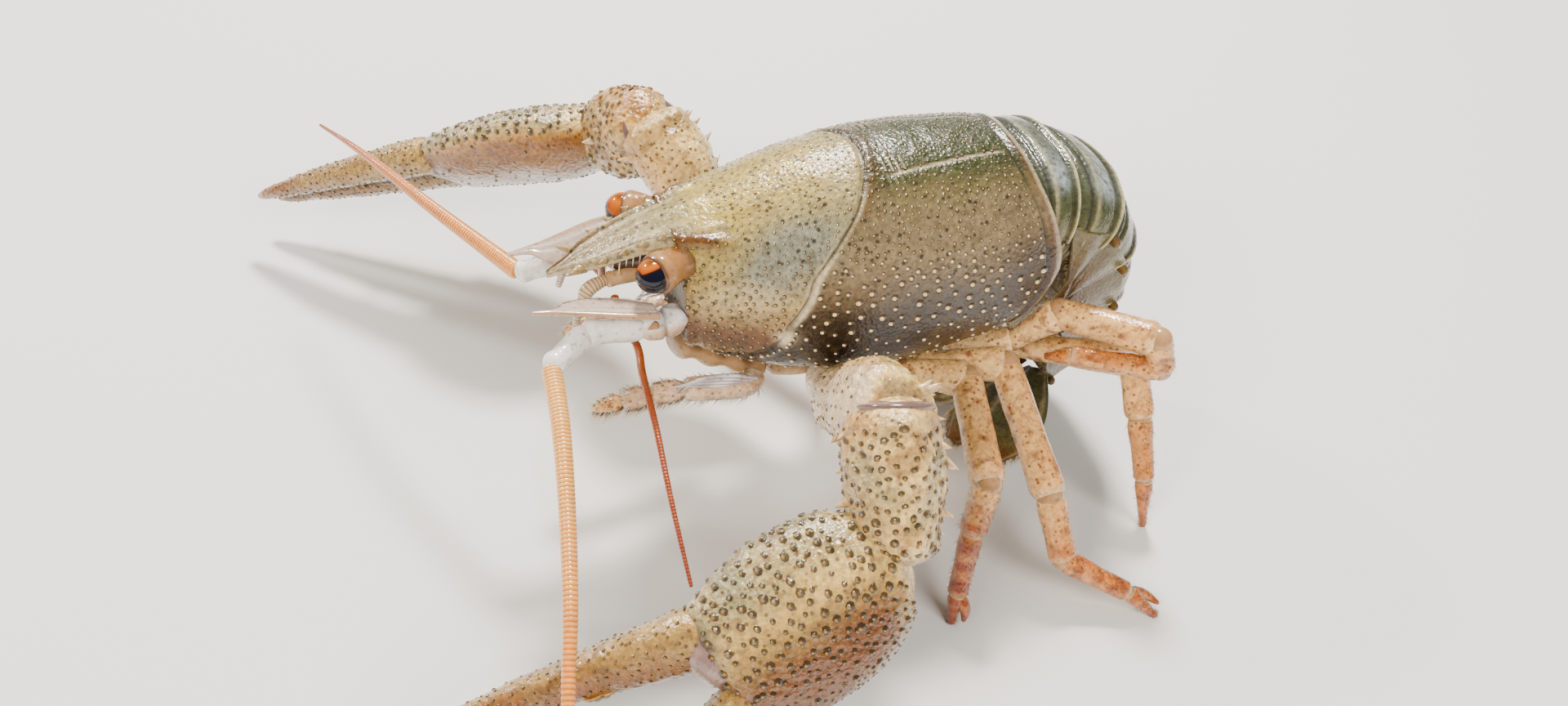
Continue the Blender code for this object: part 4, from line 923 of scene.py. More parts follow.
    def relief(self, points: Array, angle: Array) -> Array:
        """Height of the sculpture over the plain carapace.

        Args:
            points: points of the plain carapace.
            angle: their angles.

        Returns:
            Millimetres outward.
        """
        behind, upright, rim, front, cardiac, beside, folds = self.landmarks(points, angle)
        lift = -0.42 * hump(behind, 0, 0.3) * upright
        lift += 0.16 * hump(behind, 1, 0.7) * upright + 0.08 * hump(behind, -0.9, 0.6) * upright
        lift += -0.3 * hump(rim, 2, 0.4) + 0.2 * step(-rim, -1.6, -1.1)
        lift += -0.12 * hump(beside, 0, 0.25) * cardiac + 0.1 * hump(points[..., 1], 0, 2.6) * cardiac
        lift += 0.14 * folds * np.sin(points[..., 0] * 7)
        for side in Side:
            distance, share = distance_to(points, self.ridge_path(side))
            lift += 1.1 * hump(distance, 0, 1.05) * (0.1 + 0.9 * step(share, 0.3, 0.8))
            orbit = points - np.array((-47, side.value * 6.9, 3.6))
            lift -= 0.9 * np.exp(-(np.linalg.norm(orbit, axis=-1) / 2.2) ** 4)
        lift += 0.35 * self.callus(points)
        lift += 0.25 * hump(front, 0.3, 0.5) - 0.15 * hump(front, 1.4, 0.5)
        return lift + 0.14 * unevenness(points, 5, 1) + 0.06 * unevenness(points, 1.7, 2)

    def callus(self, points: Array) -> Array:
        """Share of the pale callus behind the lower part of the groove."""
        return hump(points[..., 0], -35.3, 1.3) * hump(self.height_share(points), 0.36, 0.05)

    def landmarks(self, points: Array, angle: Array) -> tuple[Array, ...]:
        """Places that both the sculpture and the colours follow.

        Args:
            points: points of the carapace.
            angle: their angles.

        Returns:
            Distance behind the groove, share of its upright part, distances from the rear and front edges,
            share of the field over the heart, distance beside its border, and share of the folds ahead of it.
        """
        x = points[..., 0]
        y = np.abs(points[..., 1])
        behind = x - self.groove_x(angle)
        rim = self.rear_x(angle) - x
        cardiac = step(behind, 3, 4.5) * step(rim, 2.5, 4) * (np.sin(angle) > 0)
        return (behind, step(np.sin(angle), -0.85, -0.5), rim, x - self.front_edge(angle), cardiac,
                y - 5.7 + 0.108 * (x + 18), hump(x, -19.2, 1.4) * hump(y, 5, 1.6))

    def paint(self, points: Array, angle: Array) -> Marks:
        """Marks of the carapace's colour zones and lines.

        Args:
            points: points on the carapace.
            angle: their angles.

        Returns:
            The zone, line and warm marks.
        """
        high = self.height_share(points)
        x = points[..., 0]
        behind, upright, rim, front, cardiac, beside, folds = self.landmarks(points, angle)
        head = step(-behind, -0.3, 0.3)
        share = np.clip(high, 0, 1)
        # Darker towards the bottom: the flank's brown, deepened to near black by painted shade under the
        # body.
        zone = hermite(self.back_zones, share)[..., 0] * (1 - head)
        zone += hermite(self.head_zones, share)[..., 0] * head
        zone -= 0.11 * step(x, -10, -1) * step(-high, -0.85, -0.65) * step(high, 0.15, 0.3)
        zone += 0.14 * step(-x, 26, 36) * (1 - head) * step(-high, -0.35, -0.15)
        flank = step(high, 0.4, 0.5)
        line = -(0.3 + 0.55 * step(-high, -0.32, -0.22)) * hump(behind, 0, 0.18) * upright
        line += 0.45 * (hump(behind, 0.5, 0.2) + hump(behind, -0.5, 0.2)) * flank * step(-high, -0.97, -0.9)
        line += 0.75 * hump(behind, 0.4, 0.45) * flank * step(-high, -0.8, -0.68)
        callus = self.callus(points)
        line += 1.1 * callus
        line += 0.5 * hump(rim, 0.3, 0.45) - 0.5 * hump(rim, 2, 0.3)
        line += 0.75 * hump(beside, 0, 0.16) * cardiac
        line += 0.5 * folds * step(np.sin(x * 7), 0.2, 0.9)
        line += 0.35 * hump(x, -39.5, 4) * hump(high, 0.6, 0.09) * head
        line -= 0.3 * hump(x, -3.5, 2.5) * hump(high, 0.85, 0.12)
        warm = 0.95 * head * hump(high, 0.3, 0.17) * step(x, -48.5, -45) + 0.5 * hump(front, 0, 1)
        line += head * (0.4 * step(-high, -0.17, -0.1) - 0.35 * hump(high, 0.24, 0.08))
        warm += 0.45 * hump(rim, 0.9, 0.5) + 0.35 * hump(behind, 1, 1.2) * step(high, 0.78, 0.86)
        for side in Side:
            distance, along = distance_to(points, self.ridge_path(side))
            warm += 0.95 * hump(distance, 0, 1.2) * step(along, 0.35, 0.7)
        cool = 0.85 * hump(x, -34, 5) * hump(high, 0.83, 0.11) * head
        cool += 0.75 * hump(x, -37.8, 3.5) * hump(high, 0.72, 0.09) * head
        cool += 0.4 * head * step(behind, -9, -2) * step(high, 0.5, 0.65) + 0.3 * callus
        return {"zone": zone, "line": np.clip(line, -1, 1), "warm": np.clip(warm, 0, 0.9),
                "cool": np.clip(cool, 0, 0.85)}

    def build(self) -> None:
        """Build the carapace, its tubercles and the rostrum."""
        angle = np.broadcast_to(self.angles(), (self.rings, self.sides))
        share = np.broadcast_to(np.linspace(0, 1, self.rings)[:, None], angle.shape)
        front = self.front_edge(angle)
        base = self.section(front + (self.rear_x(angle) - front) * share, angle)
        wrapped = np.concatenate((base[:, -1:], base, base[:, :1]), axis=1)
        normals = unit(np.cross(wrapped[:, 2:] - wrapped[:, :-2], np.gradient(base, axis=0)))
        skin = base + normals * self.relief(base, angle)[..., None]
        marks = self.paint(base, angle)
        lips = []
        for edge, inward, depths in ((0, 1, (1.6, 0.5, 0.12)), (-1, -1, (0.1, 0.5, 2.2))):
            for depth in depths:
                centre = np.array((0, 0, -2))
                flat = (skin[edge] - centre) * np.array((1, 1 - 0.09 * depth, 1 - 0.09 * depth)) + centre
                lips.append(flat + np.array((inward * depth * 0.8, 0, 0)))
        grid = np.concatenate((np.stack(lips[:3]), skin, np.stack(lips[3:])))
        shape = Shape()
        padded = {name: np.concatenate((np.repeat(mark[:1], 3, 0), mark, np.repeat(mark[-1:], 3, 0)))
                  for name, mark in marks.items()}
        padded["line"][:3] = -0.7
        shape.tube(grid, **padded)
        self.build_rostrum(shape)
        shape.build("carapace", CARAPACE_FINISH, Slot.OLIVE, "carapace_head", "carapace_back")
        self.build_studs(skin, normals, angle, marks)

    def build_rostrum(self, shape: Shape) -> None:
        """Add the rostrum: a trough between raised edges, with a low keel and a point.

        Args:
            shape: the carapace's piece.
        """
        x = np.concatenate((np.linspace(-38, -59, 110), np.linspace(-59.2, -62, 16)))
        half, top, thick = crosswise(self.rostrum, x)
        turn = full_turn(56)
        across = np.cos(turn)
        over = np.sin(turn) >= 0
        upper = 0.36 * hump(np.abs(across), 0.86, 0.12) + 0.1 * hump(across, 0, 0.14)
        above = thick * (upper - 0.12 + 0.25 * np.maximum(np.sin(turn), 0) ** 0.5)
        below = -thick * 1.15 * np.maximum(-np.sin(turn), 0) ** 0.8
        z = top + np.where(over, above, below)
        z = z - hermite(self.arch, x) * across ** 2
        half_width, crown, floor = crosswise(self.stations, x)
        middle = floor + self.waist * (crown - floor)
        roof = middle + (crown - middle) * np.sqrt(np.maximum(1 - (half * across / half_width) ** 2, 0))
        sink = step(x, -47.5, -41.5)[:, None]
        ridge = above * (1 - step(x, -44, -39.5))[:, None] - 0.3 * step(np.abs(across), 0.93, 1) - 0.12
        z = z * (1 - sink) + (roof + np.where(over, ridge, -0.3 * thick)) * sink
        grid = columns(x[:, None], half * across, z)
        grid = grid + np.array((0, 0, 0.05)) * unevenness(grid, 1.2, 5)[..., None]
        fade = step(-x, 43, 47)[:, None] * over
        edge = hump(np.abs(across), 0.9, 0.06) * over
        stripe = (hump(np.abs(across), 0.7, 0.07) + 0.6 * hump(np.abs(across), 0.28, 0.06)) * fade
        crest = hump(np.abs(across), 0.5, 0.08) * fade
        pale = np.where(over, 0, 0.6) + 0.35 * edge + 0.45 * crest - 0.35 * stripe
        warm = 0.55 * stripe + 0.3 * step(-x, 50, 60)[:, None]
        shape.tube(grid, zone=0.8 + 0.16 * step(x, -50, -42)[:, None], line=pale, warm=warm,
                   cool=0.3 * fade)
        for side in Side:
            x, y, z, lengths = np.array(self.teeth).T
            tip = self.ridge_path(side)[-1] + (0.3, 0, 0.4)
            for roots, direction, length in ((columns(x, side.value * y, z), (-0.86, 0.5, 0.12), lengths),
                                             (tip[None], (-1, 0.1, 0.2), np.array([1.3]))):
                grow(shape, roots, np.array(direction) * (1, side.value, 1), length, 0.3 + 0.14 * length,
                     Outline.SPINE, 10, (0, 0), zone=0.78, warm=0.3)
        shape.patches.clear()

    def build_studs(self, skin: Array, normals: Array, angle: Array, marks: Marks) -> None:
        """Scatter tubercles over the carapace, biggest low on the flanks and finest over the back.

        Args:
            skin: grid of the finished surface.
            normals: directions outward there.
            angle: angles there.
            marks: colour marks there.
        """
        usable = (skin[..., 2] > -14.2) & (self.rear_x(angle) - skin[..., 0] > 2.9)
        usable &= np.abs(skin[..., 0] - self.groove_x(angle)) > 0.9
        row, column = np.nonzero(usable)
        beads = np.abs(skin[row, column, 0] - self.groove_x(angle[row, column]) - 1.1) < 0.25
        beads &= (np.sin(angle[row, column]) < 0.05)
        order = self.random.permutation(len(row))
        order = np.concatenate((order[beads[order]], order[~beads[order]][:SHELL_CANDIDATES]))
        row, column, beads = row[order], column[order], beads[order]
        points = skin[row, column]
        high = self.height_share(points)
        head = (points[:, 0] < self.groove_x(angle[row, column])).astype(float)
        low = step(-high, -0.82, -0.5) * (1 - 0.75 * head)
        big = low * (1 - 0.45 * step(-high, -0.45, -0.3))
        spacing = np.where(beads, 0.75, 0.74 + 0.78 * low - 0.04 * head + 0.1 * step(high, 0.8, 1))
        picked = scatter(points, spacing)
        places = columns(row[picked] / self.rings, column[picked] / self.sides)
        size = self.random.uniform(0.7, 1.25, len(picked))
        large = (low[picked] > 0.3) | beads[picked]
        radii = np.where(beads[picked], 0.2, 0.11 + 0.17 * big[picked]) * size
        heights = (0.11 + 0.2 * big[picked]) * size
        painted = {name: mark[row, column][picked] for name, mark in marks.items()}
        painted["line"] = np.minimum(painted["line"], 0)
        lean = normals[row, column][picked] + np.array((-0.25, 0, 0))
        for name, chosen, outline, sides, finish in (
                ("carapace_tubercles", large, Outline.TUBERCLE, 8, FLANK_STUD_FINISH),
                ("carapace_granules", ~large, Outline.TUBERCLE, 6, CARAPACE_FINISH)):
            shape = Shape()
            grow(shape, points[picked][chosen], lean[chosen], heights[chosen], radii[chosen], outline, sides,
                 places[chosen], **{key: value[chosen] for key, value in painted.items()})
            shape.build(name, finish, Slot.OLIVE)


def spread(random: np.random.Generator, count: int, low: float, high: float) -> Array:
    """Random values between two limits."""
    return random.uniform(low, high, count)


def beard(shape: Shape, limb: Limb, random: np.random.Generator, count: int, fractions: Span,
          angles: Span, length: float, lean: float = 0.6, radius: float = 0.035) -> None:
    """Set stiff hairs on a limb.

    Args:
        shape: the piece of hairs.
        limb: the limb that carries them.
        random: source of the draws.
        count: how many hairs.
        fractions: part of the length that carries them.
        angles: angles about the limb that carry them, in degrees.
        length: length of a hair.
        lean: how far the hairs lean to the limb's tip.
        radius: radius of a hair at its root.
    """
    fraction = spread(random, count, *fractions)
    angle = np.radians(spread(random, count, *angles))
    roots = limb.surface(fraction, angle)
    along = limb.axes(fraction)[0]
    directions = unit(limb.outward(fraction, angle) + along * lean + 0.18 * random.normal(size=(count, 3)))
    lengths = length * spread(random, count, 0.6, 1.15)
    roots[:, 2] = np.maximum(roots[:, 2], FLOOR + HAIR_CLEARANCE / 2)
    tips = roots + directions * lengths[:, None]
    bend = along * (0.25 * lengths)[:, None]
    bend[:, 2] += np.maximum(FLOOR + HAIR_CLEARANCE - tips[:, 2] - bend[:, 2], 0)
    places = columns(fraction, angle / (2 * math.pi) % 1)
    grow(shape, roots, directions, lengths, radius, Outline.HAIR, 3, places, bend,
         zone=spread(random, count, 0, 1))


@dataclass
class Head:
    """Eyes, feelers and mouth limbs of both sides."""

    random: np.random.Generator
    eye_centre: Point = (-50.6, 6.85, 4.5)
    eye_radius: float = 2.15
    stalk_root: Point = (-46.2, 4.6, 4.2)
    stalk_profile: Rows = rounded((0, 2.4), (0.3, 2.3), (0.6, 2.5), (0.84, 2.6), (1, 2.2))
    brow: Path = ((-43, 0, 3.4), (-49, 0, 3.4), (-54.8, 0, 2.4))
    brow_profile: Rows = ((0, 5.6, 4.2), (0.5, 3.9, 2.7), (1, 1.4, 1.3))
    base_path: Path = ((-46.6, 7.5, -2.3), (-50, 7.9, -2.1), (-53.3, 8.4, -1.9))
    base_profile: Rows = ((0, 1.9, 1.7), (0.45, 2.2, 1.8), (0.8, 2, 1.7), (1, 1.7, 1.6))
    # path of each antenna's white stem, then of the long feeler from its end
    stems: dict[Side, Path] = field(default_factory=lambda: {
        Side.LEFT: ((-52.6, -8.4, -2), (-59.3, -7.9, -1.5), (-64.4, -11.8, -2)),
        Side.RIGHT: ((-52.6, 8.4, -2), (-59.4, 7.6, -2.8), (-64, 8.5, -4))})
    feelers: dict[Side, Path] = field(default_factory=lambda: {
        Side.LEFT: ((-64.5, -11.9, -2), (-65.3, -19.2, -4.8), (-67.2, -29, -9.5), (-69.5, -38.6, -13),
                    (-71.9, -46.5, -17), (-75, -60, -23.5), (-78.5, -77, -31)),
        Side.RIGHT: ((-64.1, 8.7, -4), (-66.8, 14.8, -4.4), (-71.9, 26.2, -5), (-75.8, 36.6, -6.2),
                     (-80.2, 49, -8.2), (-84.3, 60, -10.6))})
    stem_radii: Span = (1.62, 1.5)
    stem_shares: Rows = ((0, 0.8), (0.25, 1), (0.6, 0.93), (0.85, 1.06), (1, 1))
    feeler_profile: Rows = rounded((0, 1.2), (0.15, 1.05), (0.55, 0.72), (1, 0.22))
    strands: dict[Side, Path] = field(default_factory=lambda: {
        Side.LEFT: ((-54.6, -3.3, -0.5), (-53.9, -4.2, -4), (-52.6, -6.4, -6.9), (-53.2, -10.5, -7.3),
                    (-53.7, -15.5, -7.7), (-53.9, -19, -9), (-54.8, -28, -12), (-55.5, -37.6, -15.3)),
        Side.RIGHT: ((-54.6, 3.3, -0.5), (-53.9, 4.2, -4), (-52.6, 6.4, -6.9), (-53.4, 10.5, -7.6),
                     (-54, 15, -9), (-55, 19, -12), (-56, 22.5, -16))})
    strand_profile: Rows = rounded((0, 0.55), (0.4, 0.46), (1, 0.24))
    antennule_base: Path = ((-46.9, 2.7, 2), (-51, 2.6, 1.8), (-55.4, 2.5, 1.5))
    antennule: Path = ((-54.6, 2.3, 1.6), (-57.6, 3.2, 1.2), (-58.9, 3.8, -0.6), (-59.9, 4.3, -4))
    # x, inner and outer edge from the middle plane and half thickness of the antennal scale
    scale: Rows = ((-65.4, 7.2, 7.6, 0.2), (-62.6, 6.9, 8.1, 0.3), (-61, 5.6, 8.5, 0.32),
                   (-58, 4.9, 9.3, 0.36), (-54, 5.5, 10.3, 0.42), (-50.9, 7, 10.6, 0.5))
    scale_slopes: dict[Side, float] = field(default_factory=lambda: {Side.LEFT: 0.2, Side.RIGHT: 0.33})
    scale_tip_rise: dict[Side, float] = field(default_factory=lambda: {Side.LEFT: 0.9, Side.RIGHT: -2})
    # paths of the outer mouth limb's lengths with their profiles
    mouth_limb: tuple[tuple[Path, Rows], ...] = (
        (((-36.4, 7.3, -15.6), (-38.4, 8.8, -15.4), (-43, 8.7, -14.8), (-47.3, 8.3, -14.2)),
         ((0, 1.5, 1.5), (0.4, 1.55, 1.9), (0.85, 1.5, 1.8), (1, 1.4, 1.6))),
        (((-46.7, 8.3, -14.3), (-51.5, 8.2, -14)), ((0, 1, 1.2), (0.6, 1.5, 1.65), (1, 1.35, 1.4))),
        (((-51, 8.2, -14), (-55.5, 8, -14.2)), ((0, 1, 1.1), (0.6, 1.45, 1.6), (1, 1.1, 1.2))),
        (((-55, 8, -14.2), (-59, 7.4, -15.4)), ((0, 0.9, 1), (0.4, 1, 1.1), (1, 0.35, 0.35))),
    )
    flap: Path = ((-38.8, 10.2, -13.4), (-43, 10.4, -12.6), (-46.8, 9.6, -12.3), (-49, 8.8, -12.6))

    def build(self) -> None:
        """Build every limb of the head."""
        self.build_brow()
        for side in Side:
            self.build_eye(side)
            self.build_antenna(side)
            self.build_scale(side)
            self.build_antennule(side)
            self.build_mouth_limb(side)
        self.build_bristles()

    def build_brow(self) -> None:
        """Build the front of the head under the rostrum, between the eyestalks, painted near black as shade.
        """
        limb = Limb(self.brow, self.brow_profile, (0, 0, 1), 1, 1)
        shape = Shape()
        # The zone and dark line paint it near black: painted shade of the cavity under the rostrum.
        limb.fill(shape, 0.3, 60, lambda f, a: 0.15 * limb.swell(f, a, 1.5, 41),
                  lambda f, a: {"zone": 0.1, "line": -0.95})
        shape.build("head_brow", JOINT_FINISH, Slot.JOINT)

    def build_eye(self, side: Side) -> None:
        """Build the eyestalk with its rim, and the eye.

        Args:
            side: side of the animal.
        """
        eye, root = np.array(side.mirror((self.eye_centre, self.stalk_root)))
        outward = unit(eye - root)
        stalk = Limb((root, eye + outward * 0.15), self.stalk_profile, (0, 0, 1), 0.3, 0.25)
        shape = Shape()
        stalk.fill(shape, 0.12, 40, lambda f, a: 0.08 * stalk.swell(f, a, 1.2, 42),
                   lambda f, a: {"zone": 0.12 + 0.2 * hump(f, 0.75, 0.1), "warm": 0.55,
                                 "line": -0.8 * step(f, 0.88, 0.94) - 0.5 * hump(f, 0.1, 0.2)})
        shape.build(f"eyestalk_skin_{side.label}", JOINT_FINISH, Slot.JOINT, f"eyestalk_{side.label}")
        ball = Shape()
        polar = np.linspace(0.03, math.pi - 0.03, 40)[:, None]
        turn = full_turn(56)
        first = unit(np.cross(outward, (0, 0, 1)))
        second = np.cross(first, outward)
        direction = (outward * np.cos(polar)[..., None]
                     + (first * np.cos(turn)[..., None] + second * np.sin(turn)[..., None])
                     * np.sin(polar)[..., None])
        sky = direction @ unit(np.array((-0.15, -0.3 * side.value, 1)))
        ripple = 0.05 * np.sin(5 * turn) * np.sin(polar)
        ball.tube(eye + direction * self.eye_radius, zone=np.clip(0.5 + 0.5 * sky - 0.12 + ripple, 0, 1))
        ball.build(f"eye_ball_{side.label}", CORNEA_FINISH, Slot.EYE, f"eye_{side.label}")

    def build_antenna(self, side: Side) -> None:
        """Build the base, the white stem and the ringed feeler of one antenna.

        Args:
            side: side of the animal.
        """
        label = side.label
        base = Limb(side.mirror(self.base_path), self.base_profile, (0, 0, 1), 1.4, 1.2)
        shape = Shape()
        base.fill(shape, 0.25, 44, lambda f, a: 0.22 * np.sin(3 * a + 5 * f) - 0.4 * hump(f, 0.52, 0.04),
                  lambda f, a: {"zone": 0.55 + 0.35 * step(np.sin(a), -0.2, 0.6),
                                "line": -0.6 * hump(f, 0.52, 0.04),
                                "warm": 0.35 * step(-np.sin(a), -0.3, 0.5) + 0.3 * hump(f, 0.6, 0.06)})
        tooth = base.surface(np.array([0.75]), np.radians([40 if side is Side.RIGHT else 140]))
        grow(shape, tooth, (-0.9, side.value * 0.5, 0.1), 1.2, 0.45, Outline.SPINE, 10, (0, 0), zone=0.2,
             warm=0.5)
        shape.patches.clear()
        shape.build(f"antenna_foot_{label}", JOINT_FINISH, Slot.OLIVE, f"antenna_base_{label}")
        shape = Shape()
        path = np.array(self.stems[side])
        for start, end, radius in zip(path, path[1:], self.stem_radii):
            overlap = (end - start) * 0.12
            profile = rounded(*((at, radius * share) for at, share in self.stem_shares))
            limb = Limb((start - overlap, end + overlap), profile, (0.3, 0.2, 1), 1.3, 1.4)
            limb.fill(shape, 0.25, 40, lambda f, a: -0.12 * hump(f, 0.72, 0.04) * (np.sin(a) > -0.4),
                      lambda f, a: {"zone": 0.9, "line": 0.3 * step(f, 0.75, 0.85)})
        shape.build(f"antenna_white_{label}", JOINT_FINISH, Slot.JOINT, f"antenna_stem_{label}")
        limb = Limb(self.feelers[side], self.feeler_profile, (0.3, 0.2, 1), 0.3, 0.6)
        shape = Shape()
        steps = [0]
        while steps[-1] < limb.length:
            steps.append(steps[-1] + 0.42 + 0.35 * steps[-1] / limb.length)
        edges = np.array(steps) / steps[-1]
        rings = (edges[:-1, None] + np.diff(edges)[:, None] * (0.04, 0.2, 0.5, 0.85)).ravel()
        ring_lift = np.tile((-0.07, 0.02, 0.04, 0), len(edges) - 1)
        ring_line = np.tile((-0.6, 0, 0.25, 0), len(edges) - 1)
        limb.fill(shape, 0.5, 18, lambda f, a: np.interp(f, rings, ring_lift) * (1.1 - 0.7 * f),
                  lambda f, a: {"zone": 0.1 + 0.75 * f + 0.15 * side.value * (1 - f),
                                "line": np.interp(f, rings, ring_line), "warm": 0.5 * step(f, 0.75, 1)},
                  rings, floor=True)
        shape.build(f"feeler_{label}", FEELER_FINISH, Slot.FEELER, f"antenna_{label}_1", f"antenna_{label}_2")

    def build_scale(self, side: Side) -> None:
        """Build the antennal scale with its rib, spine and fringe.

        Args:
            side: side of the animal.
        """
        x = np.linspace(-50.9, -65.4, 90)
        inner, outer, half = crosswise(self.scale, x)
        slope = self.scale_slopes[side]
        middle = (inner + outer) / 2
        rise = (self.scale_tip_rise[side] + 0.9 + 3 * slope) * (-50.9 - x[:, None]) / 14.5
        level = 1 + slope * (middle - 10.3) + rise
        turn = full_turn(48)
        across = np.cos(turn)
        upper = np.sin(turn) >= 0
        rib = 0.9 * hump(across, 0.84, 0.2) + 0.3 * hump(across, 0.35, 0.1) * upper
        y = middle + (outer - inner) / 2 * across
        z = level + slope * (y - middle) + half * np.sin(turn) * (0.8 + rib)
        z = z - 0.25 * half * hump(across, 0.1, 0.3) * upper
        grid = columns(x[:, None], side.value * y, z)
        ridge = hump(across, 0.8, 0.13) * upper
        band = step(across, 0.86, 0.97)
        shape = Shape()
        shape.tube(grid, zone=0.72 - 0.45 * band, cool=0.4 * step(-across, -0.7, -0.4),
                   line=0.25 * hump(across, 0.35, 0.08) * upper - 0.15 * ridge,
                   warm=0.6 * ridge + 0.15 * band)
        shape.build(f"antenna_blade_{side.label}", JOINT_FINISH, Slot.JOINT, f"antenna_scale_{side.label}")
        hairs = Shape()
        row = self.random.integers(8, 70, 130)
        roots = grid[row, 24]
        directions = columns(-0.8, -side.value * 0.8,
                               spread(self.random, len(row), -0.5, -0.1))
        places = columns(row / 90, 0.5)
        grow(hairs, roots, directions, spread(self.random, len(row), 0.7, 1.3), 0.03,
             Outline.HAIR, 3, places, zone=0.8)
        hairs.build(f"antenna_fringe_{side.label}", HAIR_FINISH, Slot.JOINT)

    def build_antennule(self, side: Side) -> None:
        """Build the short feelers: a jointed foot, the inner strand and the long outer strand.

        Args:
            side: side of the animal.
        """
        label = side.label
        shape = Shape()
        path = side.mirror(self.antennule_base)
        for start, end, radius in ((path[0], path[1], 1.35), (path[1], path[2], 1.15)):
            limb = Limb((start, end), ((0, radius, radius * 0.9), (0.7, radius * 0.9, radius * 0.8),
                                       (1, radius, radius * 0.9)), (0, 0, 1), 0.6, 0.7)
            limb.fill(shape, 0.3, 28, None, lambda f, a: {"zone": 0.35, "warm": 0.4 * hump(f, 0.9, 0.1)})
        inner = Limb(side.mirror(self.antennule), rounded((0, 0.6), (0.4, 0.95), (0.55, 0.6), (1, 0.4)),
                     (0, 1, 0.2), 0.3, 0.3)
        self.ringed(shape, inner, 0.4, 0, 0.3)
        shape.build(f"antennule_skin_{label}", JOINT_FINISH, Slot.JOINT, f"antennule_{label}")
        shape = Shape()
        strand = Limb(self.strands[side], self.strand_profile, (1, 0.1, 0.1), 0.3, 0.4)
        self.ringed(shape, strand, 0.42, 0.6)
        shape.build(f"strand_skin_{label}", FEELER_FINISH, Slot.FEELER, f"strand_{label}")

    def ringed(self, shape: Shape, limb: Limb, spacing: float, warm: float = 0, tone: float = 0.5) -> None:
        """Add a thin limb of short rings.

        Args:
            shape: the piece.
            limb: its path and profile.
            spacing: length of one ring.
            warm: share of the warm colour.
            tone: zone at its root.
        """
        count = int(limb.length / spacing)
        edges = np.arange(count)[:, None] / count
        rings = (edges + np.array((0.05, 0.3, 0.75)) / count).ravel()
        lift = np.tile((-0.05, 0.02, 0.02), count)
        line = np.tile((-0.8, 0, 0), count)
        limb.fill(
            shape, spacing, 12, lambda f, a: np.interp(f, rings, lift),
            lambda f, a: {"zone": tone + 0.5 * f, "line": np.interp(f, rings, line), "warm": warm}, rings)

    def build_mouth_limb(self, side: Side) -> None:
        """Build the outer mouth limb with its hairs and the flap beside it.

        Args:
            side: side of the animal.
        """
        label = side.label
        shape = Shape()
        hairs = Shape()
        for index, (path, profile) in enumerate(self.mouth_limb):
            limb = Limb(side.mirror(path), profile, (0, 0, 1), 0.8, 0.9)
            limb.fill(shape, 0.3, 36, lambda f, a: 0.1 * np.cos(2 * a) * f,
                      lambda f, a, k=index: {"zone": 0.02 + 0.1 * k, "line": 0.6 * hump(f, 1, 0.1),
                                             "cool": (0.1 if k == 3 else 0.6),
                                             "warm": 0.25 * (k == 3) * step(f, 0.2, 0.9)})
            beard(hairs, limb, self.random, 160, (0.05, 0.97), (190, 350), 1.5, 0.8)
            beard(hairs, limb, self.random, 60, (0.1, 0.97), (20, 160), 0.8, 1)
        shape.build(f"mouth_limb_{label}", LEG_FINISH, Slot.LEG, f"maxilliped_{label}")
        hairs.build(f"mouth_hairs_{label}", HAIR_FINISH, Slot.LEG)
        skin = Shape()
        for index in range(4):
            path = np.array(side.mirror(self.flap)) + np.array((0.5, 0.35 * side.value, 0.45)) * (index - 1)
            path[1:, 2] += 0.35 * index * np.array((1, 0.3, -1.8))
            flap = Limb(path, ((0, 0.32, 0.26), (0.6, 0.26, 0.2), (1, 0.1, 0.1)),
                        (0, 0.3, 1), 0.5, 0.3)
            flap.fill(skin, 0.3, 14, None, lambda f, a: {"zone": 0.95, "cool": 0.45 + 0.3 * np.sin(f * 14)})
        skin.build(f"mouth_flap_{label}", JOINT_FINISH, Slot.JOINT)

    def build_bristles(self) -> None:
        """Build the stiff pale bristles under both edges of the rostrum."""
        shape = Shape()
        for side in Side:
            x = np.linspace(-49.4, -56, 9)
            half, top = np.moveaxis(hermite(Carapace.rostrum, x), -1, 0)[:2]
            roots = columns(x, side.value * half * 0.86, top - 0.5)
            directions = (-0.25, side.value * 0.45, -1)
            grow(shape, roots, directions, spread(self.random, 9, 1.7, 2.6), 0.13, Outline.HAIR, 5,
                 columns(np.linspace(0.1, 0.9, 9), np.full(9, 0.5)), zone=1)
        shape.build("rostrum_bristles", JOINT_FINISH, Slot.OLIVE)


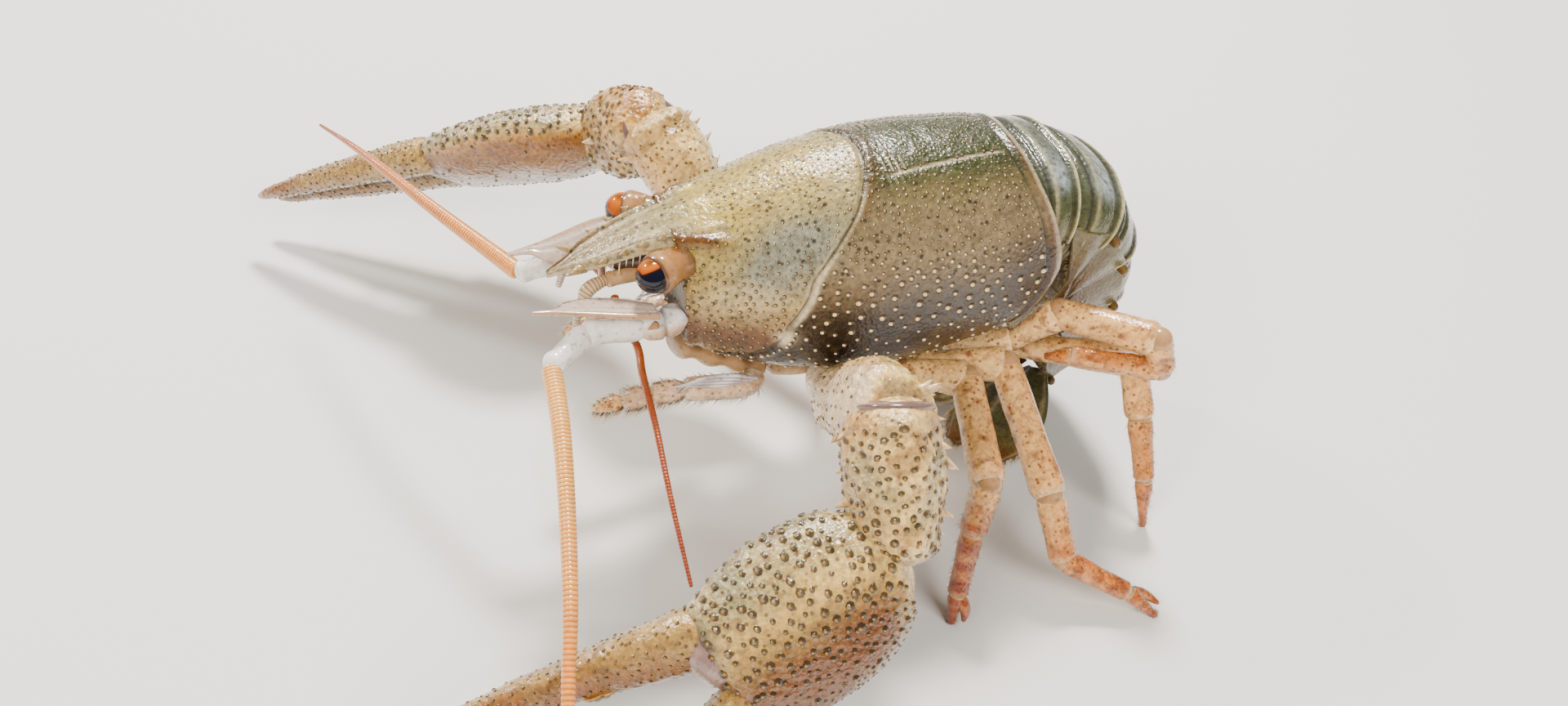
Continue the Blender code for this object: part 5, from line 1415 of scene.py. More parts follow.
@dataclass
class Claw:
    """One great claw: arm, wrist, palm with its fixed finger, and movable finger."""

    random: np.random.Generator
    side: Side
    merus: Path
    carpus: Path
    palm: Path
    finger_tip: Point
    thumb_tip: Point
    outer: Point
    merus_profile: Rows = (
        (0, 2.6, 2.6), (0.12, 2.6, 2.6), (0.28, 3.6, 3.4), (0.5, 5.3, 4.6), (0.8, 6.4, 5.4), (1, 5.9, 5.2))
    carpus_profile: Rows = ((0, 5, 4.6), (0.3, 6.4, 5.8), (0.6, 6.7, 6.1), (0.88, 5.7, 5.4), (1, 4.7, 4.2))
    palm_profile: Rows = (
        (0, 4.2, 3.7), (0.14, 7.4, 4.9), (0.35, 9.9, 5.4), (0.62, 10.5, 4.8), (0.88, 9.5, 4), (1, 8.6, 3.7))
    thumb_profile: Rows = (
        (0, 3.7, 3.2), (0.12, 3.9, 3.1), (0.6, 2.3, 2.1), (0.93, 1.1, 1.1), (1, 0.55, 0.55))
    finger_profile: Rows = (
        (0, 3.4, 2.8), (0.1, 3.7, 3), (0.35, 2.9, 2.5), (0.65, 2.1, 1.9), (0.93, 1.05, 1.05),
        (1, 0.55, 0.55))
    merus_spines: Rows = (
        (0.5, 98, 0.7, 0.3, 0.4), (0.58, 92, 1, 0.4, 0.4), (0.68, 88, 1.4, 0.45, 0.4),
        (0.78, 92, 1.8, 0.5, 0.3), (0.86, 84, 2.1, 0.55, 0.2), (0.92, 78, 2.1, 0.55, 0.1),
        (0.96, 66, 1.6, 0.45, 0), (0.9, 112, 1.4, 0.45, 0.2), (0.88, 262, 2.3, 0.7, 0.5),
        (0.7, 250, 1.1, 0.4, 0.3))
    carpus_spines: Rows = (
        (0.4, 84, 2.1, 0.75, 0.5), (0.68, 70, 1.4, 0.5, 0.4), (0.3, 60, 1, 0.4, 0.2),
        (0.62, 268, 1.5, 0.6, 0.5), (0.52, 98, 1, 0.4, 0.4), (0.8, 92, 1, 0.4, 0.4),
        (0.25, 96, 1, 0.4, 0.3), (0.45, 255, 0.8, 0.35, 0.3))
    thumb_offset: float = 4
    thumb_root: float = 3
    finger_offset: float = 5.2
    finger_bow: float = 0.8

    def __post_init__(self) -> None:
        """Work out the palm's directions and the claw's limbs."""
        end = np.array(self.palm[-1])
        axis = unit(end - np.array(self.palm[-2]))
        outer = np.array(self.outer)
        across = unit(outer - axis * (outer @ axis))
        up = np.cross(across, axis)
        self.upper = math.copysign(1, up[2])
        start = end - across * self.finger_offset + axis * 0.2
        tip = np.array(self.finger_tip)
        middle = (start + tip) / 2 - across * self.finger_bow
        thumb_start = end + across * self.thumb_offset - axis * self.thumb_root
        self.arm = Limb(self.overrun(self.merus, 0, 2.2), self.merus_profile, SPINE_UP, 1, 3.4)
        self.wrist = Limb(self.overrun(self.carpus, 2.2, 1), self.carpus_profile, SPINE_UP, 3.4, 2.6)
        self.hand = Limb(self.overrun(self.palm, 1.6, 1.4), self.palm_profile, up, 2.8, 2.2)
        self.thumb = Limb((thumb_start, self.thumb_tip), self.thumb_profile, up, 2, 0.7)
        self.finger = Limb((start - axis * 1.6, middle, tip), self.finger_profile, up,
                           2.6, 0.7)

    def overrun(self, path: Path, before: float, after: float) -> Path:
        """A path carried on past its ends, so that the domes of neighbours meet in a joint.

        Args:
            path: points of the path.
            before: distance ahead of its start.
            after: distance past its end.

        Returns:
            The longer path.
        """
        points = [np.array(point) for point in path]
        points[0] = points[0] - unit(points[1] - points[0]) * before
        points[-1] = points[-1] + unit(points[-1] - points[-2]) * after
        return points

    def build(self) -> None:
        """Build the whole claw."""
        self.build_part("merus", self.arm, self.merus_spines, 1.5, 0.13, (0.3, 0.9), self.merus_marks)
        self.build_part("carpus", self.wrist, self.carpus_spines, 1.25, 0.25, (0.2, 0.92), self.carpus_marks)
        self.build_hand()
        self.build_joints()

    def merus_marks(self, f: Array, a: Array) -> Marks:
        """Colours of the arm: tan, a whitish inner plate, and a purple-grey arc of skin round its end.

        Args:
            f: fractions of the length.
            a: angles about the path.

        Returns:
            The marks.
        """
        arc = step(f, 0.972, 0.982) * step(np.cos(a - 0.6), -0.3, 0.2)
        plate = step(-np.sin(a), 0.1, 0.6) * step(np.cos(a), -0.5, 0.1)
        swell = self.arm.swell(f, a, 3, 15)
        return {"zone": 0.38 + 0.1 * np.sin(a) * f, "warm": 0.3 * hump(f, 0.9, 0.04)
                + 0.3 * step(swell, 0.2, 0.6) * f, "cool": 0.2 * step(-swell, 0.2, 0.6),
                "line": 0.6 * plate * (1 - arc) + 0.5 * step(-f, -0.45, -0.15) - 0.62 * arc}

    def carpus_marks(self, f: Array, a: Array) -> Marks:
        """Colours of the wrist: tan over the top, grey-green beside, dark before its pale end rim.

        Args:
            f: fractions of the length.
            a: angles about the path.

        Returns:
            The marks.
        """
        beside = step(-np.sin(a), 0, 0.8)
        valley = self.valley(f, a)
        swell = self.wrist.swell(f, a, 3.2, 16)
        return {"zone": 0.3 + 0.1 * np.cos(a) + 0.1 * swell, "cool": 0.45 * beside * step(f, 0.2, 0.5)
                + 0.5 * valley + 0.3 * step(swell, 0.1, 0.5), "warm": 0.25 * hump(f, 0.2, 0.12)
                + 0.45 * hump(f, 0.93, 0.025) + 0.4 * step(-swell, 0.25, 0.6),
                "line": 0.7 * step(f, 0.965, 0.985) - 0.5 * hump(f, 0.94, 0.015)}

    def valley(self, f: Array, a: Array) -> Array:
        """Depth share of the hollow that runs slantwise over the wrist."""
        turn = (a + math.pi) % (2 * math.pi) - math.pi
        return hump(turn, 0.55 - 1.5 * (f - 0.5), 0.28) * step(f, 0.2, 0.35) * step(-f, -0.85, -0.7)

    def build_part(self, name: str, limb: Limb, spines: Sequence[Row], spacing: float, radius: float,
                   reach: Span, marks: Painter) -> None:
        """Build the arm or the wrist with its tubercles and spines.

        Args:
            name: last part of the node's name.
            limb: its form.
            spines: fraction, angle, length, radius and lean of each spine.
            spacing: distance between tubercles.
            radius: their radius.
            reach: fractions between which tubercles stand.
            marks: colour marks at fractions and angles.
        """
        def relief(f: Array, a: Array) -> Array:
            """Swells of the shell, with a raised end rim.

            Args:
                f: fractions of the length.
                a: angles about the path.

            Returns:
                Millimetres outward.
            """
            points = limb.surface(f, a)
            swell = 0.45 * unevenness(points, 4.5, 7) + 0.2 * unevenness(points, 1.6, 8)
            if name == "merus":
                swell = swell + 0.07 * np.sin(26 * a + 3 * unevenness(points, 3, 9)) * step(f, 0.4, 0.6)
            else:
                swell = 1.3 * swell - 0.6 * self.valley(f, a)
            return swell + 0.35 * hump(f, 0.95, 0.025) - 0.4 * hump(f, 0.9, 0.02) + 0.3 * np.cos(3 * a) * f

        shape = Shape()
        limb.fill(shape, 0.32, 110, relief, marks)
        label = f"claw_{self.side.label}_{name}"
        shape.build(f"{label}_shell", CLAW_FINISH, Slot.CLAW, label)
        studs = Shape()
        self.scatter_studs(studs, limb, relief, marks, spacing, radius, radius * 1.05, reach, (0, 360))
        rows = np.array(spines)
        fraction, angle = rows[:, 0], np.radians(rows[:, 1])
        along = limb.axes(fraction)[0]
        directions = unit(limb.outward(fraction, angle) + along * rows[:, 4:5])
        grow(studs, limb.surface(fraction, angle, relief(fraction, angle)), directions, rows[:, 2],
             rows[:, 3] * 1.1, Outline.SPINE, 10, columns(fraction, angle / 7 % 1), zone=0.2, line=0.35)
        studs.build(f"{label}_spines", CLAW_FINISH, Slot.CLAW)

    def scatter_studs(self, shape: Shape, limb: Limb, relief: Relief, marks: Painter, spacing: float,
                      radius: float, height: float, reach: Span, angles: Span,
                      outline: Outline = Outline.TUBERCLE) -> None:
        """Scatter tubercles over part of a limb.

        Args:
            shape: the piece of tubercles.
            limb: the limb.
            relief: its sculpture.
            marks: its colour marks.
            spacing: distance between tubercles.
            radius: their radius.
            height: their height.
            reach: fractions between which they stand.
            angles: angles between which they stand, in degrees.
            outline: their form.
        """
        fraction = spread(self.random, LIMB_CANDIDATES, *reach)
        angle = np.radians(spread(self.random, LIMB_CANDIDATES, *angles))
        points = limb.surface(fraction, angle, relief(fraction, angle))
        keep = points[:, 2] > FLOOR + 0.6
        fraction, angle, points = fraction[keep], angle[keep], points[keep]
        picked = scatter(points, spacing * self.random.uniform(0.85, 1.35, len(points)))
        fraction, angle, points = fraction[picked], angle[picked], points[picked]
        size = self.random.uniform(0.65, 1.25, len(picked))
        lean = limb.outward(fraction, angle) + limb.axes(fraction)[0] * 0.3
        grow(shape, points, lean, height * size, radius * size, outline, 8 if radius > 0.2 else 6,
             columns(fraction, angle / (2 * math.pi) % 1),
             **{key: np.maximum(value, 0) for key, value in marks(fraction, angle).items() if key != "line"})

    def palm_relief(self, f: Array, a: Array) -> Array:
        """Sculpture of the palm: swells, and a groove before the hinge.

        Args:
            f: fractions of the length.
            a: angles about the path.

        Returns:
            Millimetres outward.
        """
        points = self.hand.surface(f, a)
        swell = 0.3 * unevenness(points, 5, 11) + 0.1 * unevenness(points, 1.8, 12)
        return swell - 0.35 * hump(f, 0.06, 0.03) + 0.3 * hump(f, 0.02, 0.02)

    def palm_marks(self, f: Array, a: Array) -> Marks:
        """Colours of the palm: cream-green above, red-brown outer edge, orange-brown below, pale wrist end.

        Args:
            f: fractions of the length.
            a: angles about the path.

        Returns:
            The marks.
        """
        outer = np.cos(a)
        below = step(-np.sin(a) * self.upper, -0.05, 0.45)
        red = step(outer, -0.4, 0.55) * step(f, 0.02, 0.3) * (1 - below)
        patch = step(self.hand.swell(f, a, 4, 17), 0, 0.6)
        hinge = hump(f, 0.97, 0.07) * hump(outer, -0.55, 0.4)
        return {"zone": 0.47 - 0.45 * below + 0.3 * red, "warm": 0.8 * red + 0.25 * below,
                "cool": (0.6 * step(-outer, 0.25, 0.75) * step(f, 0.1, 0.3) * (1 - below)
                         + 0.25 * patch * (1 - red) * (1 - below) + 0.4 * hinge),
                "line": 0.6 * step(-f, -0.1, -0.02) - 0.7 * hinge}

    def thumb_marks(self, f: Array, a: Array) -> Marks:
        """Colours of the fingers: brown, darker to the tip, with a red-brown outer edge."""
        return {"zone": 0.6 + 0.18 * f + 0.08 * np.cos(a),
                "warm": 0.25 + 0.4 * step(np.cos(a), 0, 0.9) * (1 - f), "line": 0.35 * step(f, 0.93, 1)}

    def build_hand(self) -> None:
        """Build the palm with its fixed finger, then the movable finger."""
        shape = Shape()
        self.hand.fill(shape, 0.36, 150, self.palm_relief, self.palm_marks, floor=True)
        studs = Shape()
        for spacing, radius, first, last in ((1.35, 0.27, 70, 190), (1.15, 0.21, 35, 72),
                                             (0.85, 0.15, -60, 37), (2.6, 0.14, 190, 300)):
            low, high = sorted((first * self.upper, last * self.upper))
            self.scatter_studs(studs, self.hand, self.palm_relief, self.palm_marks, spacing, radius,
                               radius * 1.05, (0.1, 0.98), (low, high))
        self.build_finger("palm", shape, studs, self.thumb, 13, 0.15, 0.12, (0, 360), (180, 0.2, 0.42))
        self.build_finger("finger", Shape(), Shape(), self.finger, 14, 0.16, 0.08, (30, 330), (0, 0.14, 0.36))

    def build_finger(self, name: str, shape: Shape, studs: Shape, limb: Limb, seed: int, height: float,
                     low: float, angles: Span, teeth: tuple[float, float, float]) -> None:
        """Add a finger with its granules and teeth, and build the pieces it belongs to.

        Args:
            name: last part of the node's name.
            shape: the piece of shell.
            studs: the piece of tubercles.
            limb: the finger's form.
            seed: picks its unevenness.
            height: height of its granules.
            low: fraction where the granules start.
            angles: angles between which they stand, in degrees.
            teeth: angle of the gripping edge, and fractions where its teeth start and the largest stands.
        """
        def relief(f: Array, a: Array) -> Array:
            """Long ridges that fade to the tip."""
            return (0.3 * np.cos(3 * a) - 0.1) * (1 - f) + 0.12 * limb.swell(f, a, 2, seed)

        limb.fill(shape, 0.4, 64, relief, self.thumb_marks, floor=True)
        label = f"claw_{self.side.label}_{name}"
        shape.build(f"{label}_shell", CLAW_FINISH, Slot.CLAW, label)
        self.scatter_studs(studs, limb, relief, self.thumb_marks, 1, 0.2, height, (low, 0.9), angles,
                           Outline.GRAIN)
        self.add_teeth(studs, limb, teeth[0], (teeth[1], 0.93), teeth[2])
        studs.build(f"{label}_tubercles", CLAW_FINISH, Slot.CLAW)

    def add_teeth(self, shape: Shape, limb: Limb, angle: float, reach: Span, big: float) -> None:
        """Add a row of blunt teeth along a finger's gripping edge.

        Args:
            shape: the piece of tubercles.
            limb: the finger.
            angle: where the edge is about it, in degrees.
            reach: fractions between which the teeth stand.
            big: fraction where the largest tooth stands.
        """
        fraction = np.arange(reach[0], reach[1], 0.9 / limb.length)
        turn = np.full_like(fraction, math.radians(angle))
        size = 0.35 + 0.75 * hump(fraction, big, 0.03) + 0.12 * np.sin(fraction * 190)
        grow(shape, limb.surface(fraction, turn), limb.outward(fraction, turn), 0.6 * size, 0.75 * size,
             Outline.TUBERCLE, 9, columns(fraction, turn / 7), zone=0.3)

    def build_joints(self) -> None:
        """Build the pale skin that shows between the arm, the wrist, the palm and the finger."""
        shape = Shape()
        for before, after, radius, zone, cool in ((self.arm, self.wrist, 4.9, 0, 0.75),
                                                  (self.wrist, self.hand, 4, 0.85, 0.1),
                                                  (self.hand, self.finger, 3, 0.3, 0.7)):
            start = before.centre(np.array(0.93))
            end = after.centre(np.array(0.06))
            run = unit(end - start)
            reach = 0.8
            joint = Limb((start - run * reach, (start + end) / 2, end + run * reach),
                         rounded((0, radius * 0.8), (0.5, radius), (1, radius * 0.8)),
                         (1, 0.1, 0.3), 1.5, 1.5)
            joint.fill(
                shape, 0.3, 56, lambda f, a: 0.12 * np.sin(f * 70),
                lambda f, a: {"zone": zone, "cool": cool, "line": zone - 0.5 - 0.2 * np.sin(f * 70) ** 2})
        shape.build(f"claw_{self.side.label}_joint_skin", JOINT_FINISH, Slot.JOINT)


LEFT_CLAW = {
    "merus": ((-26.5, -7.3, -17.4), (-27.5, -10.5, -17.2), (-28.5, -15, -15.2), (-28.9, -30.6, -2)),
    "carpus": ((-28.9, -30.6, -2), (-32.5, -42, -14)),
    "palm": ((-32.5, -42, -14), (-44, -43.6, -17.6), (-53.6, -45.8, -21.6)),
    "finger_tip": (-91, -38.4, -29.4),
    "thumb_tip": (-87, -61, -36.6),
    "outer": (0.404, -0.663, -0.628),
}
RIGHT_CLAW = {
    "merus": ((-26.5, 7.3, -17.4), (-28, 10.5, -17.2), (-30.5, 15.5, -15), (-39.5, 30.5, -0.5)),
    "carpus": ((-39.5, 30.5, -0.5), (-43.2, 42.9, -9)),
    "palm": ((-43.2, 42.9, -9), (-55, 48.2, -12.4), (-65.3, 54.8, -17.6)),
    "finger_tip": (-96.3, 69.5, -28.6),
    "thumb_tip": (-93.5, 72.5, -31.5),
    "outer": (0.55, 0.47, -0.69),
}


@dataclass
class Leg:
    """One walking leg, from its root under the body to its tip."""

    random: np.random.Generator
    name: str
    path: Path
    pincer: bool
    radii: tuple[float, ...] = (1.75, 1.8, 2.35, 2.2, 1.75, 1.25, 0.5)
    tip_tone: float = 0.85
    stain: float = 0.35

    def build(self) -> None:
        """Build the leg's lengths with their joints, hairs and horny tip."""
        side = Side.LEFT if self.name.endswith("l") else Side.RIGHT
        shape = Shape()
        skin = Shape()
        hairs = Shape()
        count = len(self.path) - 1
        total = np.linspace(0, 1, count + 1)
        radii = np.interp(total, np.linspace(0, 1, len(self.radii)), self.radii)
        for index in range(count):
            last = index == count - 1
            start = np.array(self.path[index])
            end = np.array(self.path[index + 1])
            run = unit(end - start)
            near = radii[index]
            far = radii[index + 1]
            before = 0.35 * near
            after = 0 if last and end[2] <= FLOOR + 0.1 else 0.4 * far
            profile = ((0, near * 0.86, near * 0.86), (0.2, near * 0.9, near * 0.95),
                       (0.5, (near + far) * 0.47, (near + far) * 0.5), (0.86, far * 1.08, far * 1.08),
                       (1, far * 0.98, far * 0.98))
            limb = Limb((start - run * before, end + run * after), profile, (0.9, 0.35, 0.25),
                        near * 0.8, far * (0.5 if last else 0.9))
            limb.fill(shape, 0.4, 34, lambda f, a, k=index: 0.08 * limb.swell(f, a, 2.5, 20 + k)
                      + 0.1 * hump(f, 0.9, 0.03), self.marks(index, count), floor=True)
            spots = min(70, int(6 * limb.length))
            beard(hairs, limb, self.random, spots, (0.15, 0.97), (150, 215), 0.9, 0.9, 0.025)
            beard(hairs, limb, self.random, spots, (0.15, 0.97), (-35, 35), 0.8, 0.9, 0.025)
            if not last:
                ball = Limb((end - run * far * 0.9, end + run * far * 0.9),
                            rounded((0, far * 0.86), (1, far * 0.86)), (0.9, 0.35, 0.25),
                            far * 0.8, far * 0.8)
                ball.fill(skin, 0.4, 24, None, lambda f, a: {"zone": 0.25, "warm": 0.3})
        if self.pincer:
            self.add_pincer(shape, side)
        label = self.name
        shape.build(f"{label}_shell", LEG_FINISH, Slot.LEG, f"{label}_upper", f"{label}_lower")
        skin.build(f"{label}_joint_skin", JOINT_FINISH, Slot.JOINT)
        hairs.build(f"{label}_hairs", HAIR_FINISH, Slot.LEG)

    def marks(self, index: int, count: int) -> Painter:
        """Colours of one length: paler towards the body, orange and darker towards the tip.

        Args:
            index: which length of the leg.
            count: how many lengths it has.

        Returns:
            A function of fraction and angle that gives the marks.
        """
        def paint(f: Array, a: Array) -> Marks:
            """Marks of this length.

            Args:
                f: fractions of the length.
                a: angles about the path.

            Returns:
                The marks.
            """
            share = (index + f) / count
            tip = step(share, (count - 0.45) / count, 1)
            bands = hump(f, 0.25, 0.07) + hump(f, 0.5, 0.06) + hump(f, 0.78, 0.08)
            lower = step(share, 0.5, 0.7) * self.stain
            return {"zone": 0.1 + 0.6 * share + 0.1 * np.sin(a), "warm": 0.5 * tip * self.tip_tone
                    + lower * (0.35 + 0.5 * bands * step(np.cos(a), -0.6, 0.2)),
                    "line": 0.45 * hump(f, 0.97, 0.05) * (index < count - 1) - 0.5 * tip * self.tip_tone}
        return paint

    def add_pincer(self, shape: Shape, side: Side) -> None:
        """Add the movable finger of a small pincer beside the leg's last length.

        Args:
            shape: the leg's piece.
            side: side of the animal.
        """
        start = np.array(self.path[-2])
        end = np.array(self.path[-1])
        along = unit(end - start)
        sideways = unit(np.array((along[1], -along[0], 0))) * side.value
        hinge = start + (end - start) * 0.06
        tip = end + sideways * 1.5 + np.array((0, 0, 0.9))
        limb = Limb((hinge + sideways * 0.4, (hinge + tip) / 2 + sideways * 0.7, tip),
                    ((0, 0.9, 0.9), (0.4, 0.85, 0.8), (1, 0.28, 0.28)), (0, 1, 0), 0.6, 0.3)
        limb.fill(shape, 0.4, 24, None, self.marks(4, 5), floor=True)


LEG_PATHS = {
    "leg2_l": ((-20, -7.3, -17.6), (-19.2, -9.3, -17.6), (-9.5, -16.5, -15.6), (-13, -31, -20),
               (-15.5, -33.5, -26), (-18, -37, -34), (-19, -38.6, FLOOR)),
    "leg3_l": ((-14, -7.3, -18), (-13.2, -9.3, -18), (-3, -15.5, -15.6), (-3, -32, -25),
               (-2.5, -37.6, -32), (5, -43.5, -35), (8.5, -46.5, FLOOR)),
    "leg4_l": ((-7.5, -7.3, -18), (0.2, -11.6, -15.4), (4.7, -14.2, -9.2), (12.9, -25.1, -6.9),
               (13.9, -26.4, -11.3), (3.4, -20.4, -11.2), (0.6, -18.9, -12)),
    "leg5_l": ((-1.2, -7.3, -18.6), (0, -8.4, -18.6), (16, -19.2, -16.8), (15.6, -24.5, -23),
               (15.2, -29.8, -30.5), (15.5, -32.5, FLOOR)),
    "leg2_r": ((-20, 7.3, -17.6), (-19.4, 9.3, -17.6), (-15.5, 17, -15.6), (-24, 31, -17),
               (-27.5, 36, -21), (-31, 41, -32), (-31.8, 42.2, FLOOR)),
    "leg3_r": ((-14, 7.3, -18), (-13.4, 9.3, -18), (-7, 16.5, -15.6), (-3, 33, -19),
               (-1.5, 38.5, -24), (1, 45, -33.5), (2, 47, FLOOR)),
    "leg4_r": ((-7.5, 7.3, -18), (-6.9, 9, -18), (2, 14.5, -15.6), (14, 27.5, -16),
               (18, 31.5, -21.5), (22, 36.5, -33), (22.8, 37.8, FLOOR)),
    "leg5_r": ((-1.2, 7.3, -18.6), (0, 8.4, -18.6), (15, 18.5, -17.6), (18.5, 21, -22),
               (22, 23.5, -32), (22.8, 24.4, FLOOR)),
}
PINCER_LEGS = ("leg2", "leg3")
LEG_STAINS = {"leg2": 1.5, "leg3": 0.8}


def bearings(heading: Array | float) -> tuple[Array, Array]:
    """Directions along the body and inward from its back, at a heading in degrees."""
    cosine, sine = np.cos(np.radians(heading)), np.sin(np.radians(heading))
    return columns(cosine, 0, sine), columns(sine, 0, -cosine)


def amid(row: Sequence[Array | float], index: int, share: Array | float = 0.5) -> Array:
    """Values between two neighbours of a row, at shares of the way."""
    return row[index] + (row[index + 1] - row[index]) * share


@dataclass
class Abdomen:
    """Six ringed segments that curl down behind the carapace, their side lobes, and the tail fan."""

    random: np.random.Generator
    carapace: Carapace
    headings: tuple[float, ...] = (-9, -28, -60, -86, -104, -130)
    lengths: tuple[float, ...] = (7, 10, 10, 10, 10, 10)
    heights: tuple[float, ...] = (17, 17, 16, 14.5, 13, 11, 8)
    half_widths: tuple[float, ...] = (11.8, 12, 11.9, 11.5, 11, 10.2, 9)
    back_share: float = 0.52
    start: Point = (0.6, 0, 10.6)
    fan_heading: float = -157
    fan_length: float = 16
    # length of each side lobe as a share of the height, and how far it turns from the radius to the vertical
    lobes: Rows = ((0.62, 0.3), (0.6, 0.15), (0.64, 0.05), (0.66, 0), (0.6, 0))
    lobe_outline: Rows = ((0, 1), (0.3, 1.04), (0.6, 0.98), (0.84, 0.72), (1, 0.34))
    telson_widths: Rows = ((0, 4.2), (0.25, 4.7), (0.5, 4.6), (0.7, 4.3), (0.88, 3.6), (1, 2.6))
    inner_widths: Rows = ((0, 1.4), (0.25, 3.1), (0.5, 4.2), (0.8, 4.2), (1, 2.9))
    outer_widths: Rows = ((0, 1.4), (0.25, 3.3), (0.5, 4.5), (0.8, 4.6), (1, 3.1))

    def __post_init__(self) -> None:
        """Work out where the segments meet on the back, and the headings of the planes there."""
        self.hairs = Shape()
        runs = [length * bearings(heading)[0] for heading, length in zip(self.headings, self.lengths)]
        self.points = np.cumsum([np.array(self.start), *runs], axis=0)
        rows = (self.headings[0], *self.headings, self.fan_heading)
        self.planes = [(a + b) / 2 for a, b in zip(rows, rows[1:])]

    def section(self, place: Array, heading: Array, height: Array, half_width: Array, turn: Array) -> Array:
        """Points of the abdomen's cross-section, arched over the back and flatter below.

        Args:
            place: point on the back, for each ring.
            heading: direction of the body there, in degrees.
            height: height of the section.
            half_width: half width of the section.
            turn: angles about it.

        Returns:
            Points by ring and angle.
        """
        inward = bearings(heading)[1]
        middle = place + inward * (height * self.back_share)[:, None]
        cosine = np.cos(turn)
        sine = np.sin(turn)
        upper = sine >= 0
        across = np.where(upper, np.abs(cosine) ** 0.85, 0.96 * np.abs(cosine) ** 0.7) * np.sign(cosine)
        share = np.where(upper, self.back_share * np.abs(sine) ** 0.9,
                         -(1 - self.back_share) * np.abs(sine) ** 0.7)
        points = middle[:, None] - inward[:, None] * (height[:, None] * share)[..., None]
        points[..., 1] += half_width[:, None] * across
        return points

    def build(self) -> None:
        """Build every segment and the tail fan."""
        for index in range(6):
            self.build_segment(index)
        self.build_fan()
        self.hairs.build("abdomen_fringe", HAIR_FINISH, Slot.ABDOMEN)

    def build_segment(self, index: int) -> None:
        """Build one segment, counted from 0: its ring with raised band, pale rear edge and painted
        reflection, and its lobes.

        Args:
            index: number of the segment, from 0.
        """
        share = np.concatenate((np.linspace(-0.04, 0.92, 40), np.linspace(0.93, 1.055, 12)))
        dense = np.linspace(0, 2 * math.pi, 2001)
        outline = self.section(self.points[:1], np.array([0]), np.array([16]), np.array([11.5]), dense)[0]
        run = np.concatenate(((0,), np.cumsum(np.linalg.norm(np.diff(outline, axis=0), axis=1))))
        turn = np.interp(np.linspace(0, run[-1], 151)[:-1], run, dense)
        grid = self.section(amid(self.points, index, share[:, None]), amid(self.planes, index, share),
                            amid(self.heights, index, share), amid(self.half_widths, index, share), turn)
        f = share[:, None]
        sine = np.sin(turn)
        over = step(sine, -0.35, 0.1)
        lift = -0.75 * step(-f, -0.3, -0.12) + 0.35 * hump(f, 0.55, 0.3) - 0.35 * hump(f, 0.3, 0.045)
        lift = (lift + 0.3 * hump(f, 0.97, 0.06) - 0.22 * hump(f, 0.85, 0.05)) * over
        lift = lift - 0.5 * step(f, 0.99, 1.05) - 0.5 * step(-f, 0, 0.04)
        lift = lift + 0.1 * unevenness(grid, 3, 30 + index) * over
        grid = grid + unit(grid - grid.mean(axis=1, keepdims=True)) * lift[..., None]
        if index == 0:
            grid[..., 0] = np.maximum(grid[..., 0], self.carapace.rear_x(np.maximum(turn, 0)) - 1.6)
        line = 0.8 * (hump(f, 0.98, 0.05) - hump(f, 0.3, 0.05))
        line = line + 0.35 * hump(f, 0.42, 0.05) - 0.7 * hump(f, 0.88, 0.035)
        under = step(-sine, 0.2, 0.6)
        shape = Shape()
        # The cool mark is a painted pale blue-grey reflection, high on each side of the ring.
        shape.tube(grid, zone=(0.35 + 0.6 * step(sine, 0, 0.8)) * (1 - 0.8 * under),
                   line=line * over + 0.6 * under, cool=0.55 * hump(sine, 0.84, 0.13) * hump(f, 0.6, 0.25))
        if index:
            for side in Side:
                self.add_lobe(shape, index, side)
        shape.build(f"abdomen_ring_{index + 1}", ABDOMEN_FINISH, Slot.ABDOMEN, f"abdomen_{index + 1}")

    def add_lobe(self, shape: Shape, index: int, side: Side) -> None:
        """Add the rounded lobe that hangs from one side of a segment, with its hinge knob.

        Args:
            shape: the segment's piece.
            index: number of the segment, from 0.
            side: side of the animal.
        """
        along, inward = bearings(self.headings[index])
        height = amid(self.heights, index)
        reach, lean = self.lobes[index - 1]
        down = unit(inward * (1 - lean) + np.array((0, 0, -lean)))
        root = (amid(self.points, index) + inward * (height * 0.36)
                + np.array((0, side.value * amid(self.half_widths, index) * 0.94, 0)))
        tip = root + down * (height * (reach + 0.06)) + np.array((0, side.value * 1.5, 0))
        share = np.linspace(0, 1, 34)[:, None]
        base = root + (tip - root) * share
        room = [np.abs((base - self.points[k]) @ bearings(self.planes[k])[0]) for k in (index, index + 1)]
        width = (np.minimum(*room) + 0.5)[:, None] * hermite(self.lobe_outline, share[:, 0])
        cosine = np.cos(full_turn(44))
        across = cosine * width
        close = np.sqrt(np.maximum(1 - step(share, 0.88, 1) ** 2, 0.03))
        thick = 0.62 * (1 - 0.35 * share) + 0.28 * hump(np.abs(cosine), 0.86, 0.09)
        depth = (thick + 0.35 * hump(cosine, 0, 0.5) * (1 - share)) * np.sin(full_turn(44))
        sideways = unit(np.cross(down, np.array((0, 1, 0))))
        sideways = sideways * math.copysign(1, sideways @ along)
        grid = base[:, None] + sideways * (across * close)[..., None] + np.array((0, 1, 0)) * depth[..., None]
        shape.tube(grid, zone=0.42 - 0.28 * share + 0.08 * across / 5,
                   line=0.2 * hump(np.abs(cosine), 0.95, 0.08))
        knob = root + down * 0.4 + along * (0.42 * self.lengths[index]) + np.array((0, side.value * 0.5, 0))
        ball = Limb((knob - (0, 1.1, 0), knob + (0, 1.1, 0)), rounded((0, 0.7), (1, 0.7)), (0, 0, 1), 0.8,
                    0.8)
        ball.fill(shape, 0.3, 20, None, lambda f, a: {"zone": 0.35, "warm": 0.2})
        count = 60
        row = self.random.integers(14, 34, count)
        column = self.random.choice(np.array((0, 1, 2, 20, 21, 22, 23, 24, 42, 43)), count)
        roots = grid[row, column]
